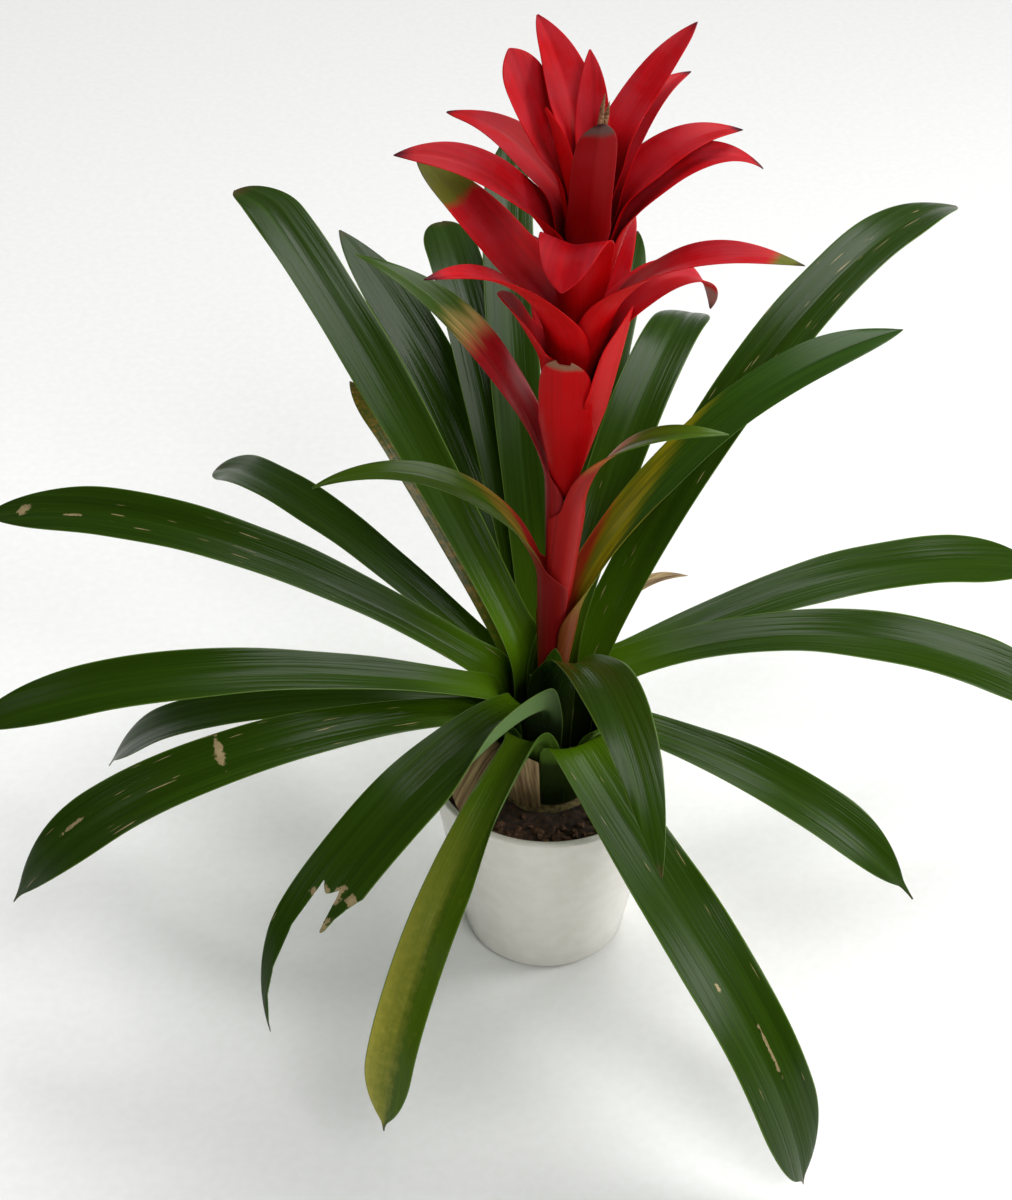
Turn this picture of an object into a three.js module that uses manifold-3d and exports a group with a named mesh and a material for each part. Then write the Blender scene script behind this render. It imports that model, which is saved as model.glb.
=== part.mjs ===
// Potted scarlet star: a flowering bromeliad with strap leaves in a rosette and a spike of red
// bracts, in a plain glazed pot. Millimetres, +Z up, -Y is the front.
// The origin is the middle of the pot's underside.

import * as THREE from 'three';
import Module from 'manifold-3d';
import { mergeVertices } from 'three/addons/utils/BufferGeometryUtils.js';

const wasm = await Module();
wasm.setup();

const { degToRad, lerp, smoothstep } = THREE.MathUtils;

// Pot, a tapered cup with a rounded foot and rim
const POT_HEIGHT = 118;
const POT_RIM_RADIUS = 66;
const POT_FOOT_RADIUS = 47;
const POT_FOOT_ROUNDING = 4;
const POT_WALL = 4.5;
const POT_FLOOR = 7;
const POT_SIDES = 42;

// Soil, filling the pot to a little under its rim
const SOIL_RIM_DROP = 13;
const SOIL_MOUND = 3;
const SOIL_SIDES = 36;
const FIT_GAP = 0.4;

// Stem: a root crown in the soil, a neck that carries the leaves, and the flower stalk
const CROWN_RADIUS = 29;
const CROWN_BOTTOM = 84;
const NECK_RADIUS = 8.5;
const STALK_RADIUS = 5;
const STALK_TOP = 478;
const STEM_SIDES = 14;

// The whole plant leans to the right above this height
const LEAN_START = 165;
const LEAN_SLOPE = Math.tan(degToRad(3));

// Leaf bases nest in tiers round the neck, from tier 0 at the heart to tier 11 outside
const ROOT_RADIUS = 10.5;
const ROOT_RADIUS_STEP = 1.65;
const ROOT_HEIGHT = 126;
const ROOT_HEIGHT_STEP = -1.5;
const ROOT_CLEARANCE = 1.2;
const THROAT_RADIUS = 12;
const THROAT_RADIUS_STEP = 2.3;
const THROAT_HEIGHTS = [186, 180, 177, 173, 169, 166, 163, 160, 157, 155, 153, 151];
const LEAF_SHEATH_WIDTH = 34;
const LEAF_BEND = 26;

// Bract bases clasp the stalk and lean out from it
const CLASP_RADIUS = 6.4;
const BRACT_CLASP = 40;
const BRACT_SPREAD = 76;
const BRACT_BEND = 14;
const BRACT_WRAP = 125;

// How far round an open blade curls from margin to margin, in degrees, and the points across it
const LEAF_CUP = 44;
const LEAF_COLUMNS = 7;
const STALK_LEAF_CUP = 50;
const STALK_LEAF_COLUMNS = 9;
const STALK_LEAF_BEND = 20;
const BRACT_CUP = 60;
const BRACT_COLUMNS = 5;

// Blade thickness at the middle and at the margin. The bases are thinner by this share.
const MIDRIB_THICKNESS = 1.3;
const MARGIN_THICKNESS = 0.8;
const BASE_THINNING = 0.8;

// Where the cross-sections stand along a blade, in sixtieths of its length
const BLADE_STEPS = 60;
const LEAF_STATIONS = [0, 3, 6, 10, 17, 25, 34, 43, 50, 55, 58.5, 60];
const BRACT_STATIONS = [0, 5, 11, 19, 28, 38, 48, 55, 60];

// Rosette leaves. side: where round the stem the leaf grows, in degrees from +X, counter-clockwise
// from above. rise and fall: slope of the blade as it leaves the throat and at its tip.
// turn: how far it swings sideways. curve: above 1 keeps the slope longer before it falls.
// roll: how far it twists by its tip. narrowFrom: where along the blade it starts to narrow to its tip.
const LEAVES = [
  { name: 'leaf_left_under', side: 185, tier: 10, rise: 4, fall: -59, length: 288, turn: -45, width: 26,
    roll: 35 },
  { name: 'leaf_front_long', side: 289, tier: 10, rise: 0, fall: -80, length: 296, turn: 36, width: 45 },
  { name: 'leaf_right_back', side: 34, tier: 10, rise: 5, fall: -29, length: 360, turn: -5, width: 36,
    roll: -30 },
  { name: 'leaf_left_short', side: 135, tier: 9, rise: 12, fall: -32, length: 342, turn: -18, width: 28,
    roll: 20 },
  { name: 'leaf_front_yellow', side: 252, tier: 9, rise: 12, fall: -88, length: 263, turn: -14, width: 28 },
  { name: 'leaf_right_front', side: 327, tier: 9, rise: 8, fall: -59, length: 218, turn: 25, width: 33,
    roll: -25, narrowFrom: 0.6 },
  { name: 'leaf_left_front', side: 212, tier: 8, rise: 24, fall: -62, length: 323, turn: -34, width: 34,
    roll: 35 },
  { name: 'leaf_back_left_short', side: 124, tier: 8, rise: 31, fall: -10, length: 258, turn: -14, width: 18 },
  { name: 'leaf_right_low', side: 24, tier: 8, rise: 13, fall: -37, length: 332, turn: -22, width: 38,
    curve: 0.8, roll: -32 },
  { name: 'leaf_left_long', side: 158, tier: 7, rise: 23, fall: -27, length: 366, turn: -6, width: 35,
    roll: 25 },
  { name: 'leaf_back_right', side: 48, tier: 7, rise: 55, fall: -25, length: 440, turn: 6, width: 37 },
  { name: 'leaf_left_level', side: 198, tier: 6, rise: 26, fall: -32, length: 314, turn: -24, width: 33,
    roll: 25 },
  { name: 'leaf_back_left_low', side: 103, tier: 6, rise: 22, fall: 12, length: 354, turn: 20, width: 35 },
  { name: 'leaf_back_blunt', side: 104, tier: 5, rise: 37, fall: -5, length: 350, turn: -4, width: 34 },
  { name: 'leaf_back_tall', side: 101, tier: 4, rise: 41, fall: 3, length: 400, turn: -13, width: 32,
    curve: 1 },
  { name: 'leaf_back_left', side: 135, tier: 3, rise: 48, fall: 0, length: 368, turn: -21, width: 34 },
  { name: 'leaf_back_middle', side: 80, tier: 2, rise: 44, fall: -6, length: 318, turn: 0, width: 26 },
  { name: 'leaf_back_right_inner', side: 67, tier: 1, rise: 59, fall: -29, length: 284, turn: 6, width: 33 },
  { name: 'leaf_front_arched', side: 281, tier: 1, rise: 55, fall: -34, length: 250, turn: 0, width: 34,
    narrowFrom: 0.42 },
  { name: 'leaf_heart', side: 272, tier: 0, rise: 86, fall: 84, length: 27, turn: 0, width: 18,
    narrowFrom: 0.1 },
];

// The leaf whose outer part is torn away on one side, from where the tear starts to where it ends.
// The strip that is left runs on to the tip.
const TORN_LEAF = { name: 'leaf_front_left_torn', side: 248, tier: 5, rise: 37, fall: -83, length: 286,
  turn: -34, width: 41 };
const TEAR = [{ t: 0.66, margin: 1 }, { t: 0.7, margin: 0.6 }, { t: 0.72, margin: -0.12 }];
const TORN_STATIONS = [0, 3, 6, 10, 17, 25, 32, 39.6, 42, 43.2, 47, 52, 57, 60];

// Dead leaves at the outside of the rosette
const DEAD_LEAVES = [
  { name: 'withered_leaf', side: 66, tier: 9, rise: 12, fall: -32, length: 140, turn: -22, width: 9 },
  { name: 'dry_sheath', side: 236, tier: 11, rise: -12, fall: -62, length: 58, turn: -10, width: 24 },
];

// Leaves on the foot of the flower stalk, green at the tip and reddening to a base that wraps round.
// root: height where the base starts. clasp: its length. spread: its slope. wrap: how far round it goes.
const STALK_LEAVES = [
  { name: 'stalk_leaf_right_long', side: 33, root: 168, clasp: 54, spread: 84, wrap: 230, rise: 63, fall: 1,
    length: 241, turn: -10, width: 32, curve: 1 },
  { name: 'stalk_leaf_left', side: 192, root: 186, clasp: 60, spread: 86, wrap: 220, rise: 74, fall: -38,
    length: 162, turn: -24, width: 22, narrowFrom: 0.4 },
  { name: 'stalk_leaf_right', side: 300, root: 230, clasp: 60, spread: 86, wrap: 170, rise: 82, fall: -4,
    length: 122, turn: 54, width: 23, narrowFrom: 0.3 },
  { name: 'stalk_leaf_upper_left', side: 160, root: 252, clasp: 54, spread: 86, wrap: 205, rise: 72, fall: -2,
    length: 170, turn: -16, width: 27, narrowFrom: 0.35 },
];

// Scarlet bracts of the spike, lowest first. taper: high where the bract stays broad to a blunt tip.
// cup: how far round the open blade curls, in degrees.
const BRACTS = [
  { side: 252, root: 306, clasp: 46, wrap: 112, rise: 84, fall: 76, length: 50, turn: 0, width: 30, taper: 6,
    cup: 80 },
  { side: 352, root: 318, clasp: 38, spread: 76, wrap: 100, rise: 84, fall: 84, length: 42, turn: 0, width: 35,
    taper: 5, cup: 86 },
  { side: 106, root: 322, rise: 60, fall: 0, length: 88, turn: 0, width: 30 },
  { side: 192, root: 338, clasp: 44, rise: 66, fall: 52, length: 52, turn: 0, width: 38, taper: 4, cup: 50 },
  { side: 70, root: 339, wrap: 114, rise: 62, fall: 8, length: 84, turn: 0, width: 30 },
  { side: 15, root: 349, rise: 82, fall: -92, length: 88, turn: 20, width: 33 },
  { side: 228, root: 356, rise: 65, fall: 6, length: 116, turn: -14, width: 32 },
  { side: 168, root: 367, rise: 50, fall: 30, length: 104, turn: -26, width: 44 },
  { side: 320, root: 369, rise: 72, fall: -14, length: 116, turn: 34, width: 32, curve: 1 },
  { side: 256, root: 395, rise: 88, fall: -56, length: 72, turn: 4, width: 36, taper: 5 },
  { side: 96, root: 397, rise: 62, fall: 12, length: 78, turn: 0, width: 28 },
  { side: 184, root: 405, rise: 62, fall: -6, length: 98, turn: -6, width: 35, roll: 16 },
  { side: 15, root: 409, rise: 68, fall: -42, length: 89, turn: 2, width: 32 },
  { side: 133, root: 419, rise: 36, fall: -11, length: 88, turn: 8, width: 30 },
  { side: 266, root: 421, wrap: 84, rise: 78, fall: 66, length: 70, turn: 10, width: 25, taper: 9 },
  { side: 26, root: 427, clasp: 33, rise: 53, fall: -15, length: 78, turn: -2, width: 30 },
  { side: 56, root: 437, clasp: 29, rise: 62, fall: -7, length: 82, turn: -8, width: 21 },
  { side: 205, root: 452, clasp: 27, rise: 78, fall: 66, length: 46, turn: 0, width: 22 },
  { side: 152, root: 443, clasp: 30, rise: 56, fall: 68, length: 72, turn: 4, width: 33, taper: 8, roll: 16 },
  { side: 54, root: 456, clasp: 32, rise: 41, fall: 26, length: 77, turn: -8, width: 20, taper: 4 },
  { side: 118, root: 463, clasp: 27, rise: 60, fall: 40, length: 67, turn: 12, width: 29 },
  { side: 97, root: 471, clasp: 16, spread: 82, rise: 76, fall: 58, length: 50, turn: 5, width: 18 },
];

// Spent flowers at the end of the stalk
const FLOWER_BASE_RADIUS = 4.4;
const FLOWER_SIDES = 8;
const FLOWERS = [
  { side: 300, tilt: 4, length: 33 },
  { side: 40, tilt: 9, length: 28 },
  { side: 200, tilt: 8, length: 24 },
];

// Moves a point sideways with the lean of the plant
function lean(point) {
  point.x += LEAN_SLOPE * Math.max(point.z - LEAN_START, 0);
  return point;
}

// Follows a strap leaf from its root on the stem to its tip. Each station holds the place of the
// midrib, the way it runs, the way its upper face looks, and t, from 0 at the throat to 1 at the tip.
function midribStations(spec) {
  const { side, turn, rise, fall, length, curve = 1.3, roll = 0, root, throat, bend, marks } = spec;
  const stations = [];
  const addStation = (radial, height, slope, heading, t) => {
    const outward = new THREE.Vector3(Math.cos(heading), Math.sin(heading), 0);
    const upper = outward.clone().multiplyScalar(-Math.sin(slope)).setZ(Math.cos(slope));
    const sideways = new THREE.Vector3(-Math.sin(heading), Math.cos(heading), 0);
    const twist = degToRad(roll) * smoothstep(t, 0.1, 1);
    stations.push({
      point: radial.clone().setZ(height),
      upper: upper.clone().multiplyScalar(Math.cos(twist)).addScaledVector(sideways, Math.sin(twist)),
      sideways: sideways.multiplyScalar(Math.cos(twist)).addScaledVector(upper, -Math.sin(twist)),
      t,
    });
  };
  const rootHeading = degToRad(side);
  const direction = new THREE.Vector3(Math.cos(rootHeading), Math.sin(rootHeading), 0);
  const sheathSlope = Math.atan2(throat.height - root.height, throat.radius - root.radius);
  for (const share of [0, 0.5]) {
    const radius = lerp(root.radius, throat.radius, share);
    const height = lerp(root.height, throat.height, share);
    addStation(direction.clone().multiplyScalar(radius), height, sheathSlope, rootHeading, share - 1);
  }
  const radial = direction.clone().multiplyScalar(throat.radius);
  let height = throat.height;
  let travelled = 0;
  for (const station of marks) {
    const end = station / BLADE_STEPS;
    const slopeAt = (t) => {
      const bladeSlope = degToRad(lerp(rise, fall, t ** curve));
      return lerp(sheathSlope, bladeSlope, smoothstep(t * length, 0, bend));
    };
    while (travelled < end - 1e-9) {
      const stride = Math.min(1 / BLADE_STEPS, end - travelled);
      const middle = travelled + stride / 2;
      const heading = degToRad(side + turn * middle);
      const slope = slopeAt(middle);
      radial.x += Math.cos(slope) * Math.cos(heading) * stride * length;
      radial.y += Math.cos(slope) * Math.sin(heading) * stride * length;
      height += Math.sin(slope) * stride * length;
      travelled += stride;
    }
    addStation(radial.clone(), height, slopeAt(end), degToRad(side + turn * end), end);
  }
  return stations;
}

// Width of a strap leaf along its blade: a waist above the throat, then broad, then a rounded point
function strapWidth(t, { width, narrowFrom = 0.76 }, throatWidth) {
  const broadening = smoothstep(t, 0.08, 0.6);
  const waist = lerp(throatWidth, width * 0.74, smoothstep(t, 0, 0.1));
  const body = lerp(waist, width, broadening);
  const narrowing = Math.max((t - narrowFrom) / (1 - narrowFrom), 0);
  return Math.max(body * Math.max(1 - narrowing ** 2, 0) ** 0.62, 1.6);
}

// Width of a bract: broadest just above its base and drawn out to a point
function bractWidth(t, { width, taper = 3 }, throatWidth) {
  const body = lerp(throatWidth, width, smoothstep(t, 0, 0.3));
  return Math.max(body * (1 - t ** taper) ** 0.85, 1.4);
}

// Builds a closed channelled blade round its midrib. Both faces have the same rows and columns.
// marginsAt gives the two edges across the blade, -1 and 1 where it is whole.
function bladeGeometry(spec, { widthAt, throatArc, bladeArc, columns, marginsAt = () => [-1, 1] }) {
  const stations = midribStations(spec);
  const positions = [];
  for (const { point, upper, sideways, t } of stations) {
    const alongBlade = Math.max(t, 0);
    const sheathRadius = lerp(spec.root.radius, spec.throat.radius, 1 + Math.min(t, 0));
    const throatWidth = spec.throat.radius * throatArc;
    const width = t < 0 ? sheathRadius * throatArc : widthAt(alongBlade, spec, throatWidth);
    const clasping = Math.min(throatArc, width / spec.throat.radius);
    const opened = lerp(t < 0 ? throatArc : clasping, bladeArc, smoothstep(alongBlade, 0.06, 0.4));
    const arc = opened * lerp(1, 0.5, smoothstep(alongBlade, 0.7, 1));
    const radius = width / arc;
    const margins = marginsAt(t);
    const thinning = lerp(BASE_THINNING, 1, smoothstep(t, 0, 0.1));
    for (const face of [1, -1]) {
      for (let column = 0; column < columns; column += 1) {
        const share = column / (columns - 1);
        const across = lerp(margins[0], margins[1], face > 0 ? share : 1 - share);
        const half = thinning * lerp(MIDRIB_THICKNESS, MARGIN_THICKNESS, across ** 2) / 2;
        const swing = across * arc / 2;
        const reach = radius - half * face;
        const vertex = point.clone();
        vertex.addScaledVector(upper, radius - reach * Math.cos(swing));
        vertex.addScaledVector(sideways, reach * Math.sin(swing));
        positions.push(...lean(vertex).toArray());
      }
    }
  }
  return ringsToGeometry(positions, stations.length, columns);
}

// Joins rings of points, each an upper row and the lower row coming back, into one closed solid
function ringsToGeometry(positions, ringCount, columns) {
  const index = [];
  const ring = columns * 2;
  const quad = (a, b, c, d) => index.push(a, c, b, a, d, c);
  for (let step = 0; step < ringCount - 1; step += 1) {
    const near = step * ring;
    const far = near + ring;
    for (let side = 0; side < ring; side += 1) {
      const next = (side + 1) % ring;
      const mirrored = side >= columns && side < ring - 1;
      if (mirrored) {
        quad(near + next, far + next, far + side, near + side);
      } else {
        quad(near + side, near + next, far + next, far + side);
      }
    }
  }
  const lastRing = (ringCount - 1) * ring;
  for (let column = 0; column < columns - 1; column += 1) {
    const opposite = ring - 1 - column;
    quad(column, opposite, opposite - 1, column + 1);
    const start = lastRing;
    quad(start + column, start + column + 1, start + opposite - 1, start + opposite);
  }
  const geometry = new THREE.BufferGeometry();
  geometry.setAttribute('position', new THREE.Float32BufferAttribute(positions, 3));
  geometry.setIndex(index);
  return geometry;
}

// Turns a profile of [radius, height] points round the Z axis
function turned(profile, sides) {
  const geometry = new THREE.LatheGeometry(profile.map(([x, y]) => new THREE.Vector2(x, y)), sides);
  geometry.rotateX(Math.PI / 2);
  return geometry;
}

// Applies the plant's lean to every vertex of a geometry
function leaning(geometry) {
  const position = geometry.getAttribute('position');
  const vertex = new THREE.Vector3();
  for (let index = 0; index < position.count; index += 1) {
    position.setXYZ(index, ...lean(vertex.fromBufferAttribute(position, index)).toArray());
  }
  return geometry;
}

// Points of an arc in a profile, from one angle to another in degrees
function arcPoints(centreX, centreY, radius, from, to, steps) {
  return Array.from({ length: steps + 1 }, (_, step) => {
    const angle = degToRad(lerp(from, to, step / steps));
    return [centreX + radius * Math.cos(angle), centreY + radius * Math.sin(angle)];
  });
}

// Radius of the pot's outside at a height
function potRadius(height) {
  return lerp(POT_FOOT_RADIUS, POT_RIM_RADIUS, height / POT_HEIGHT);
}

function potGeometry() {
  const rimRounding = POT_WALL / 2;
  const rimMiddle = POT_RIM_RADIUS - rimRounding;
  const profile = [
    [0, 0],
    ...arcPoints(POT_FOOT_RADIUS - POT_FOOT_ROUNDING, POT_FOOT_ROUNDING, POT_FOOT_ROUNDING, -90, -5, 3),
    ...arcPoints(rimMiddle, POT_HEIGHT - rimRounding, rimRounding, 0, 180, 6),
    [potRadius(POT_FLOOR) - POT_WALL - 2, POT_FLOOR + 2],
    [potRadius(POT_FLOOR) - POT_WALL - 4, POT_FLOOR],
    [0, POT_FLOOR],
  ];
  return turned(profile, POT_SIDES);
}

function soilGeometry() {
  const bottom = POT_FLOOR + FIT_GAP;
  const top = POT_HEIGHT - SOIL_RIM_DROP;
  const wallGap = POT_WALL + FIT_GAP + 0.6;
  const holeRadius = CROWN_RADIUS + FIT_GAP;
  const holeFloor = CROWN_BOTTOM - FIT_GAP;
  const profile = [
    [0, bottom],
    [potRadius(bottom) - wallGap - 4, bottom],
    [potRadius(top) - wallGap, top],
    [lerp(holeRadius, potRadius(top) - wallGap, 0.5), top + SOIL_MOUND * 0.8],
    [holeRadius, top + SOIL_MOUND],
    [holeRadius, holeFloor],
    [0, holeFloor],
  ];
  return turned(profile, SOIL_SIDES);
}

// Height of the crown's sloping shoulder, just under the leaf roots
function shoulderHeight(radius) {
  const tier = (radius - ROOT_RADIUS) / ROOT_RADIUS_STEP;
  return ROOT_HEIGHT + ROOT_HEIGHT_STEP * tier - ROOT_CLEARANCE;
}

// The crown sits in the soil's plain hole. Its sloping shoulder carries the tiers of leaf bases.
function stemGeometry() {
  const profile = [
    [0, CROWN_BOTTOM],
    [CROWN_RADIUS - 5, CROWN_BOTTOM],
    [CROWN_RADIUS, CROWN_BOTTOM + 8],
    [CROWN_RADIUS, shoulderHeight(CROWN_RADIUS)],
    [NECK_RADIUS, shoulderHeight(NECK_RADIUS)],
    [STALK_RADIUS, LEAN_START],
    [STALK_RADIUS, STALK_TOP - 4],
    [STALK_RADIUS - 2, STALK_TOP - 1],
    [0, STALK_TOP],
  ];
  return leaning(turned(profile, STEM_SIDES));
}

// The right margin of the torn leaf: whole at first, then along the tear, then along the strip
function tornMargins(t) {
  const next = TEAR.find((mark) => mark.t > t);
  if (next === TEAR[0]) {
    return [-1, 1];
  }
  const last = next ? TEAR[TEAR.indexOf(next) - 1] : TEAR.at(-1);
  const share = next ? (t - last.t) / (next.t - last.t) : 0;
  return [-1, lerp(last.margin, next?.margin ?? last.margin, share)];
}

function leafGeometry(leaf, { marks = LEAF_STATIONS, marginsAt } = {}) {
  const root = {
    radius: ROOT_RADIUS + ROOT_RADIUS_STEP * leaf.tier,
    height: ROOT_HEIGHT + ROOT_HEIGHT_STEP * leaf.tier,
  };
  const throat = {
    radius: THROAT_RADIUS + THROAT_RADIUS_STEP * leaf.tier,
    height: THROAT_HEIGHTS[leaf.tier],
  };
  const spec = { ...leaf, root, throat, bend: LEAF_BEND, marks };
  return bladeGeometry(spec, {
    widthAt: strapWidth,
    throatArc: LEAF_SHEATH_WIDTH / throat.radius,
    bladeArc: degToRad(LEAF_CUP),
    columns: LEAF_COLUMNS,
    marginsAt,
  });
}

// A leaf or bract whose base clasps the stalk
function claspingGeometry(blade, { widthAt, bladeArc, columns, bend, marks }) {
  const { clasp = BRACT_CLASP, spread = BRACT_SPREAD, wrap = BRACT_WRAP } = blade;
  const slope = degToRad(spread);
  const root = { radius: CLASP_RADIUS, height: blade.root };
  const throat = {
    radius: CLASP_RADIUS + clasp * Math.cos(slope),
    height: blade.root + clasp * Math.sin(slope),
  };
  const spec = { ...blade, root, throat, bend, marks };
  return bladeGeometry(spec, { widthAt, throatArc: degToRad(wrap), bladeArc, columns });
}

function stalkLeafGeometry(leaf) {
  const bladeArc = degToRad(STALK_LEAF_CUP);
  const shape = { widthAt: strapWidth, bladeArc, columns: STALK_LEAF_COLUMNS, bend: STALK_LEAF_BEND };
  return claspingGeometry(leaf, { ...shape, marks: LEAF_STATIONS });
}

function bractGeometry(bract) {
  const bladeArc = degToRad(bract.cup ?? BRACT_CUP);
  const shape = { widthAt: bractWidth, bladeArc, columns: BRACT_COLUMNS, bend: BRACT_BEND };
  return claspingGeometry(bract, { ...shape, marks: BRACT_STATIONS });
}

// Turns a lathe geometry into a solid that can be joined to others
function toSolid(geometry) {
  for (const name of ['normal', 'uv']) {
    geometry.deleteAttribute(name);
  }
  const merged = mergeVertices(geometry, 1e-4);
  const corners = Array.from(merged.index.array);
  const isWhole = (start) => new Set(corners.slice(start, start + 3)).size === 3;
  const triVerts = corners.filter((_, place) => isWhole(place - (place % 3)));
  const vertProperties = new Float32Array(merged.getAttribute('position').array);
  return new wasm.Manifold(new wasm.Mesh({ numProp: 3, vertProperties, triVerts: new Uint32Array(triVerts) }));
}

function fromSolid(solid) {
  const mesh = solid.getMesh();
  const geometry = new THREE.BufferGeometry();
  geometry.setAttribute('position', new THREE.Float32BufferAttribute(mesh.vertProperties, 3));
  geometry.setIndex(Array.from(mesh.triVerts));
  return geometry;
}

// Dried flowers on the end of the stalk: slender spindles on one small base
function spentFlowersGeometry() {
  const base = [[0, 0], [FLOWER_BASE_RADIUS, 0], [FLOWER_BASE_RADIUS - 1, 4], [0, 5]];
  let joined = toSolid(turned(base, FLOWER_SIDES));
  for (const { side, tilt, length } of FLOWERS) {
    const spindle = [[0, 0], [1.3, 1], [1.9, length * 0.45], [1, length * 0.85], [0, length]];
    const flower = turned(spindle, FLOWER_SIDES);
    flower.translate(0, 0, 1);
    flower.rotateY(degToRad(tilt));
    flower.rotateZ(degToRad(side));
    joined = joined.add(toSolid(flower));
  }
  const geometry = fromSolid(joined);
  geometry.translate(0, 0, STALK_TOP + FIT_GAP);
  return leaning(geometry);
}

const LOOKS = {
  glazedPot: { color: '#ece9e2', roughness: 0.25 },
  soil: { color: '#3a2a1e', roughness: 0.95 },
  stem: { color: '#8a7a55', roughness: 0.8 },
  leafGreen: { color: '#1f3d17', roughness: 0.4 },
  stalkLeaf: { color: '#5d6a1c', roughness: 0.45 },
  scarlet: { color: '#b3121b', roughness: 0.4 },
  dryLeaf: { color: '#9a7a50', roughness: 0.9 },
  spentFlower: { color: '#6b4a2c', roughness: 0.9 },
};

const plant = new THREE.Group();

// Adds one named sub-part with its own material
function addPart(name, geometry, look) {
  const mesh = new THREE.Mesh(geometry, new THREE.MeshStandardMaterial({ ...look, metalness: 0 }));
  mesh.name = name;
  plant.add(mesh);
}

addPart('pot', potGeometry(), LOOKS.glazedPot);
addPart('soil', soilGeometry(), LOOKS.soil);
addPart('stem', stemGeometry(), LOOKS.stem);

for (const leaf of LEAVES) {
  addPart(leaf.name, leafGeometry(leaf), LOOKS.leafGreen);
}
const tornGeometry = leafGeometry(TORN_LEAF, { marks: TORN_STATIONS, marginsAt: tornMargins });
addPart(TORN_LEAF.name, tornGeometry, LOOKS.leafGreen);
for (const leaf of DEAD_LEAVES) {
  addPart(leaf.name, leafGeometry(leaf), LOOKS.dryLeaf);
}

for (const leaf of STALK_LEAVES) {
  addPart(leaf.name, stalkLeafGeometry(leaf), LOOKS.stalkLeaf);
}
BRACTS.forEach((bract, index) => {
  addPart(`bract_${String(index + 1).padStart(2, '0')}`, bractGeometry(bract), LOOKS.scarlet);
});
addPart('spent_flowers', spentFlowersGeometry(), LOOKS.spentFlower);

export default plant;
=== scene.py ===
"""Looks of a potted scarlet star: glossy strap leaves, a spike of scarlet bracts and a glazed pot.

Every blade is a grid that is laid along its own midrib, cupped across and given a thickness. The
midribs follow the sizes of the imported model, in millimetres and degrees, so each piece lies where its
solid does. -Y is the front and +Z is up.
"""

import logging
import math
import random
from collections.abc import Sequence
from dataclasses import dataclass, field
from enum import Enum

import bmesh
import bpy
from mathutils import Euler, Matrix, Vector, noise

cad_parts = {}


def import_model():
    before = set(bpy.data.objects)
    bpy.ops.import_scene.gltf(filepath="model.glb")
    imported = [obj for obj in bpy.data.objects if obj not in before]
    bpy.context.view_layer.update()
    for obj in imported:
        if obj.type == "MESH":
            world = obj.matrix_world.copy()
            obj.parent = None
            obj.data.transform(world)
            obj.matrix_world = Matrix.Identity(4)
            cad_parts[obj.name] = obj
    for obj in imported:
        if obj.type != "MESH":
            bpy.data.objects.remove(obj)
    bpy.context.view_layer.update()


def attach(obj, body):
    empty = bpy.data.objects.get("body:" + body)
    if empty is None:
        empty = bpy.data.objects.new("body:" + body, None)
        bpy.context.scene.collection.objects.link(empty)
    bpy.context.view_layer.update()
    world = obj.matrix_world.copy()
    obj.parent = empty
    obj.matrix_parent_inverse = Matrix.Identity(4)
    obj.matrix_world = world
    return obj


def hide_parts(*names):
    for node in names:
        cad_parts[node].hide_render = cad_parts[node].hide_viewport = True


LOG = logging.getLogger("scarlet_star")

MM = 0.001
BODY = "root"

# The plant leans to the right above this height, by this much sideways for each step up
LEAN_START = 165.0
LEAN_SLOPE = math.tan(math.radians(3))

# Radius of the flower stalk with the bases that clasp it, and the height of its end
CLASPED_RADIUS = 6.4
STALK_END = 478

# Points nearer than this are one point
MERGE_DISTANCE = 1e-6

# Seed of the noise that roughens the bark chips and the dried flowers
NOISE_SEED = 8

UV_SHARE = "share"
UV_REAL = "real"
FLESH_GROUP = "flesh"


def linear(hex_colour: str) -> tuple[float, float, float, float]:
    """Turns an sRGB hex colour to linear light.

    Args:
        hex_colour: A colour such as "#1f3a14".

    Returns:
        Red, green, blue and an alpha of 1.
    """
    channels = [int(hex_colour[start : start + 2], 16) / 255 for start in (1, 3, 5)]
    red, green, blue = [c / 12.92 if c <= 0.04045 else ((c + 0.055) / 1.055) ** 2.4 for c in channels]
    return red, green, blue, 1.0


def lerp(start: float, end: float, share: float) -> float:
    """Returns the value that lies a share of the way from start to end."""
    return start + (end - start) * share


def smoothstep(value: float, low: float, high: float) -> float:
    """Returns 0 below low, 1 above high, and a smooth step between them."""
    share = min(max((value - low) / (high - low), 0.0), 1.0)
    return share * share * (3 - 2 * share)


Inputs = dict[str | int, object]
Colour = str | bpy.types.NodeSocket


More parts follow.
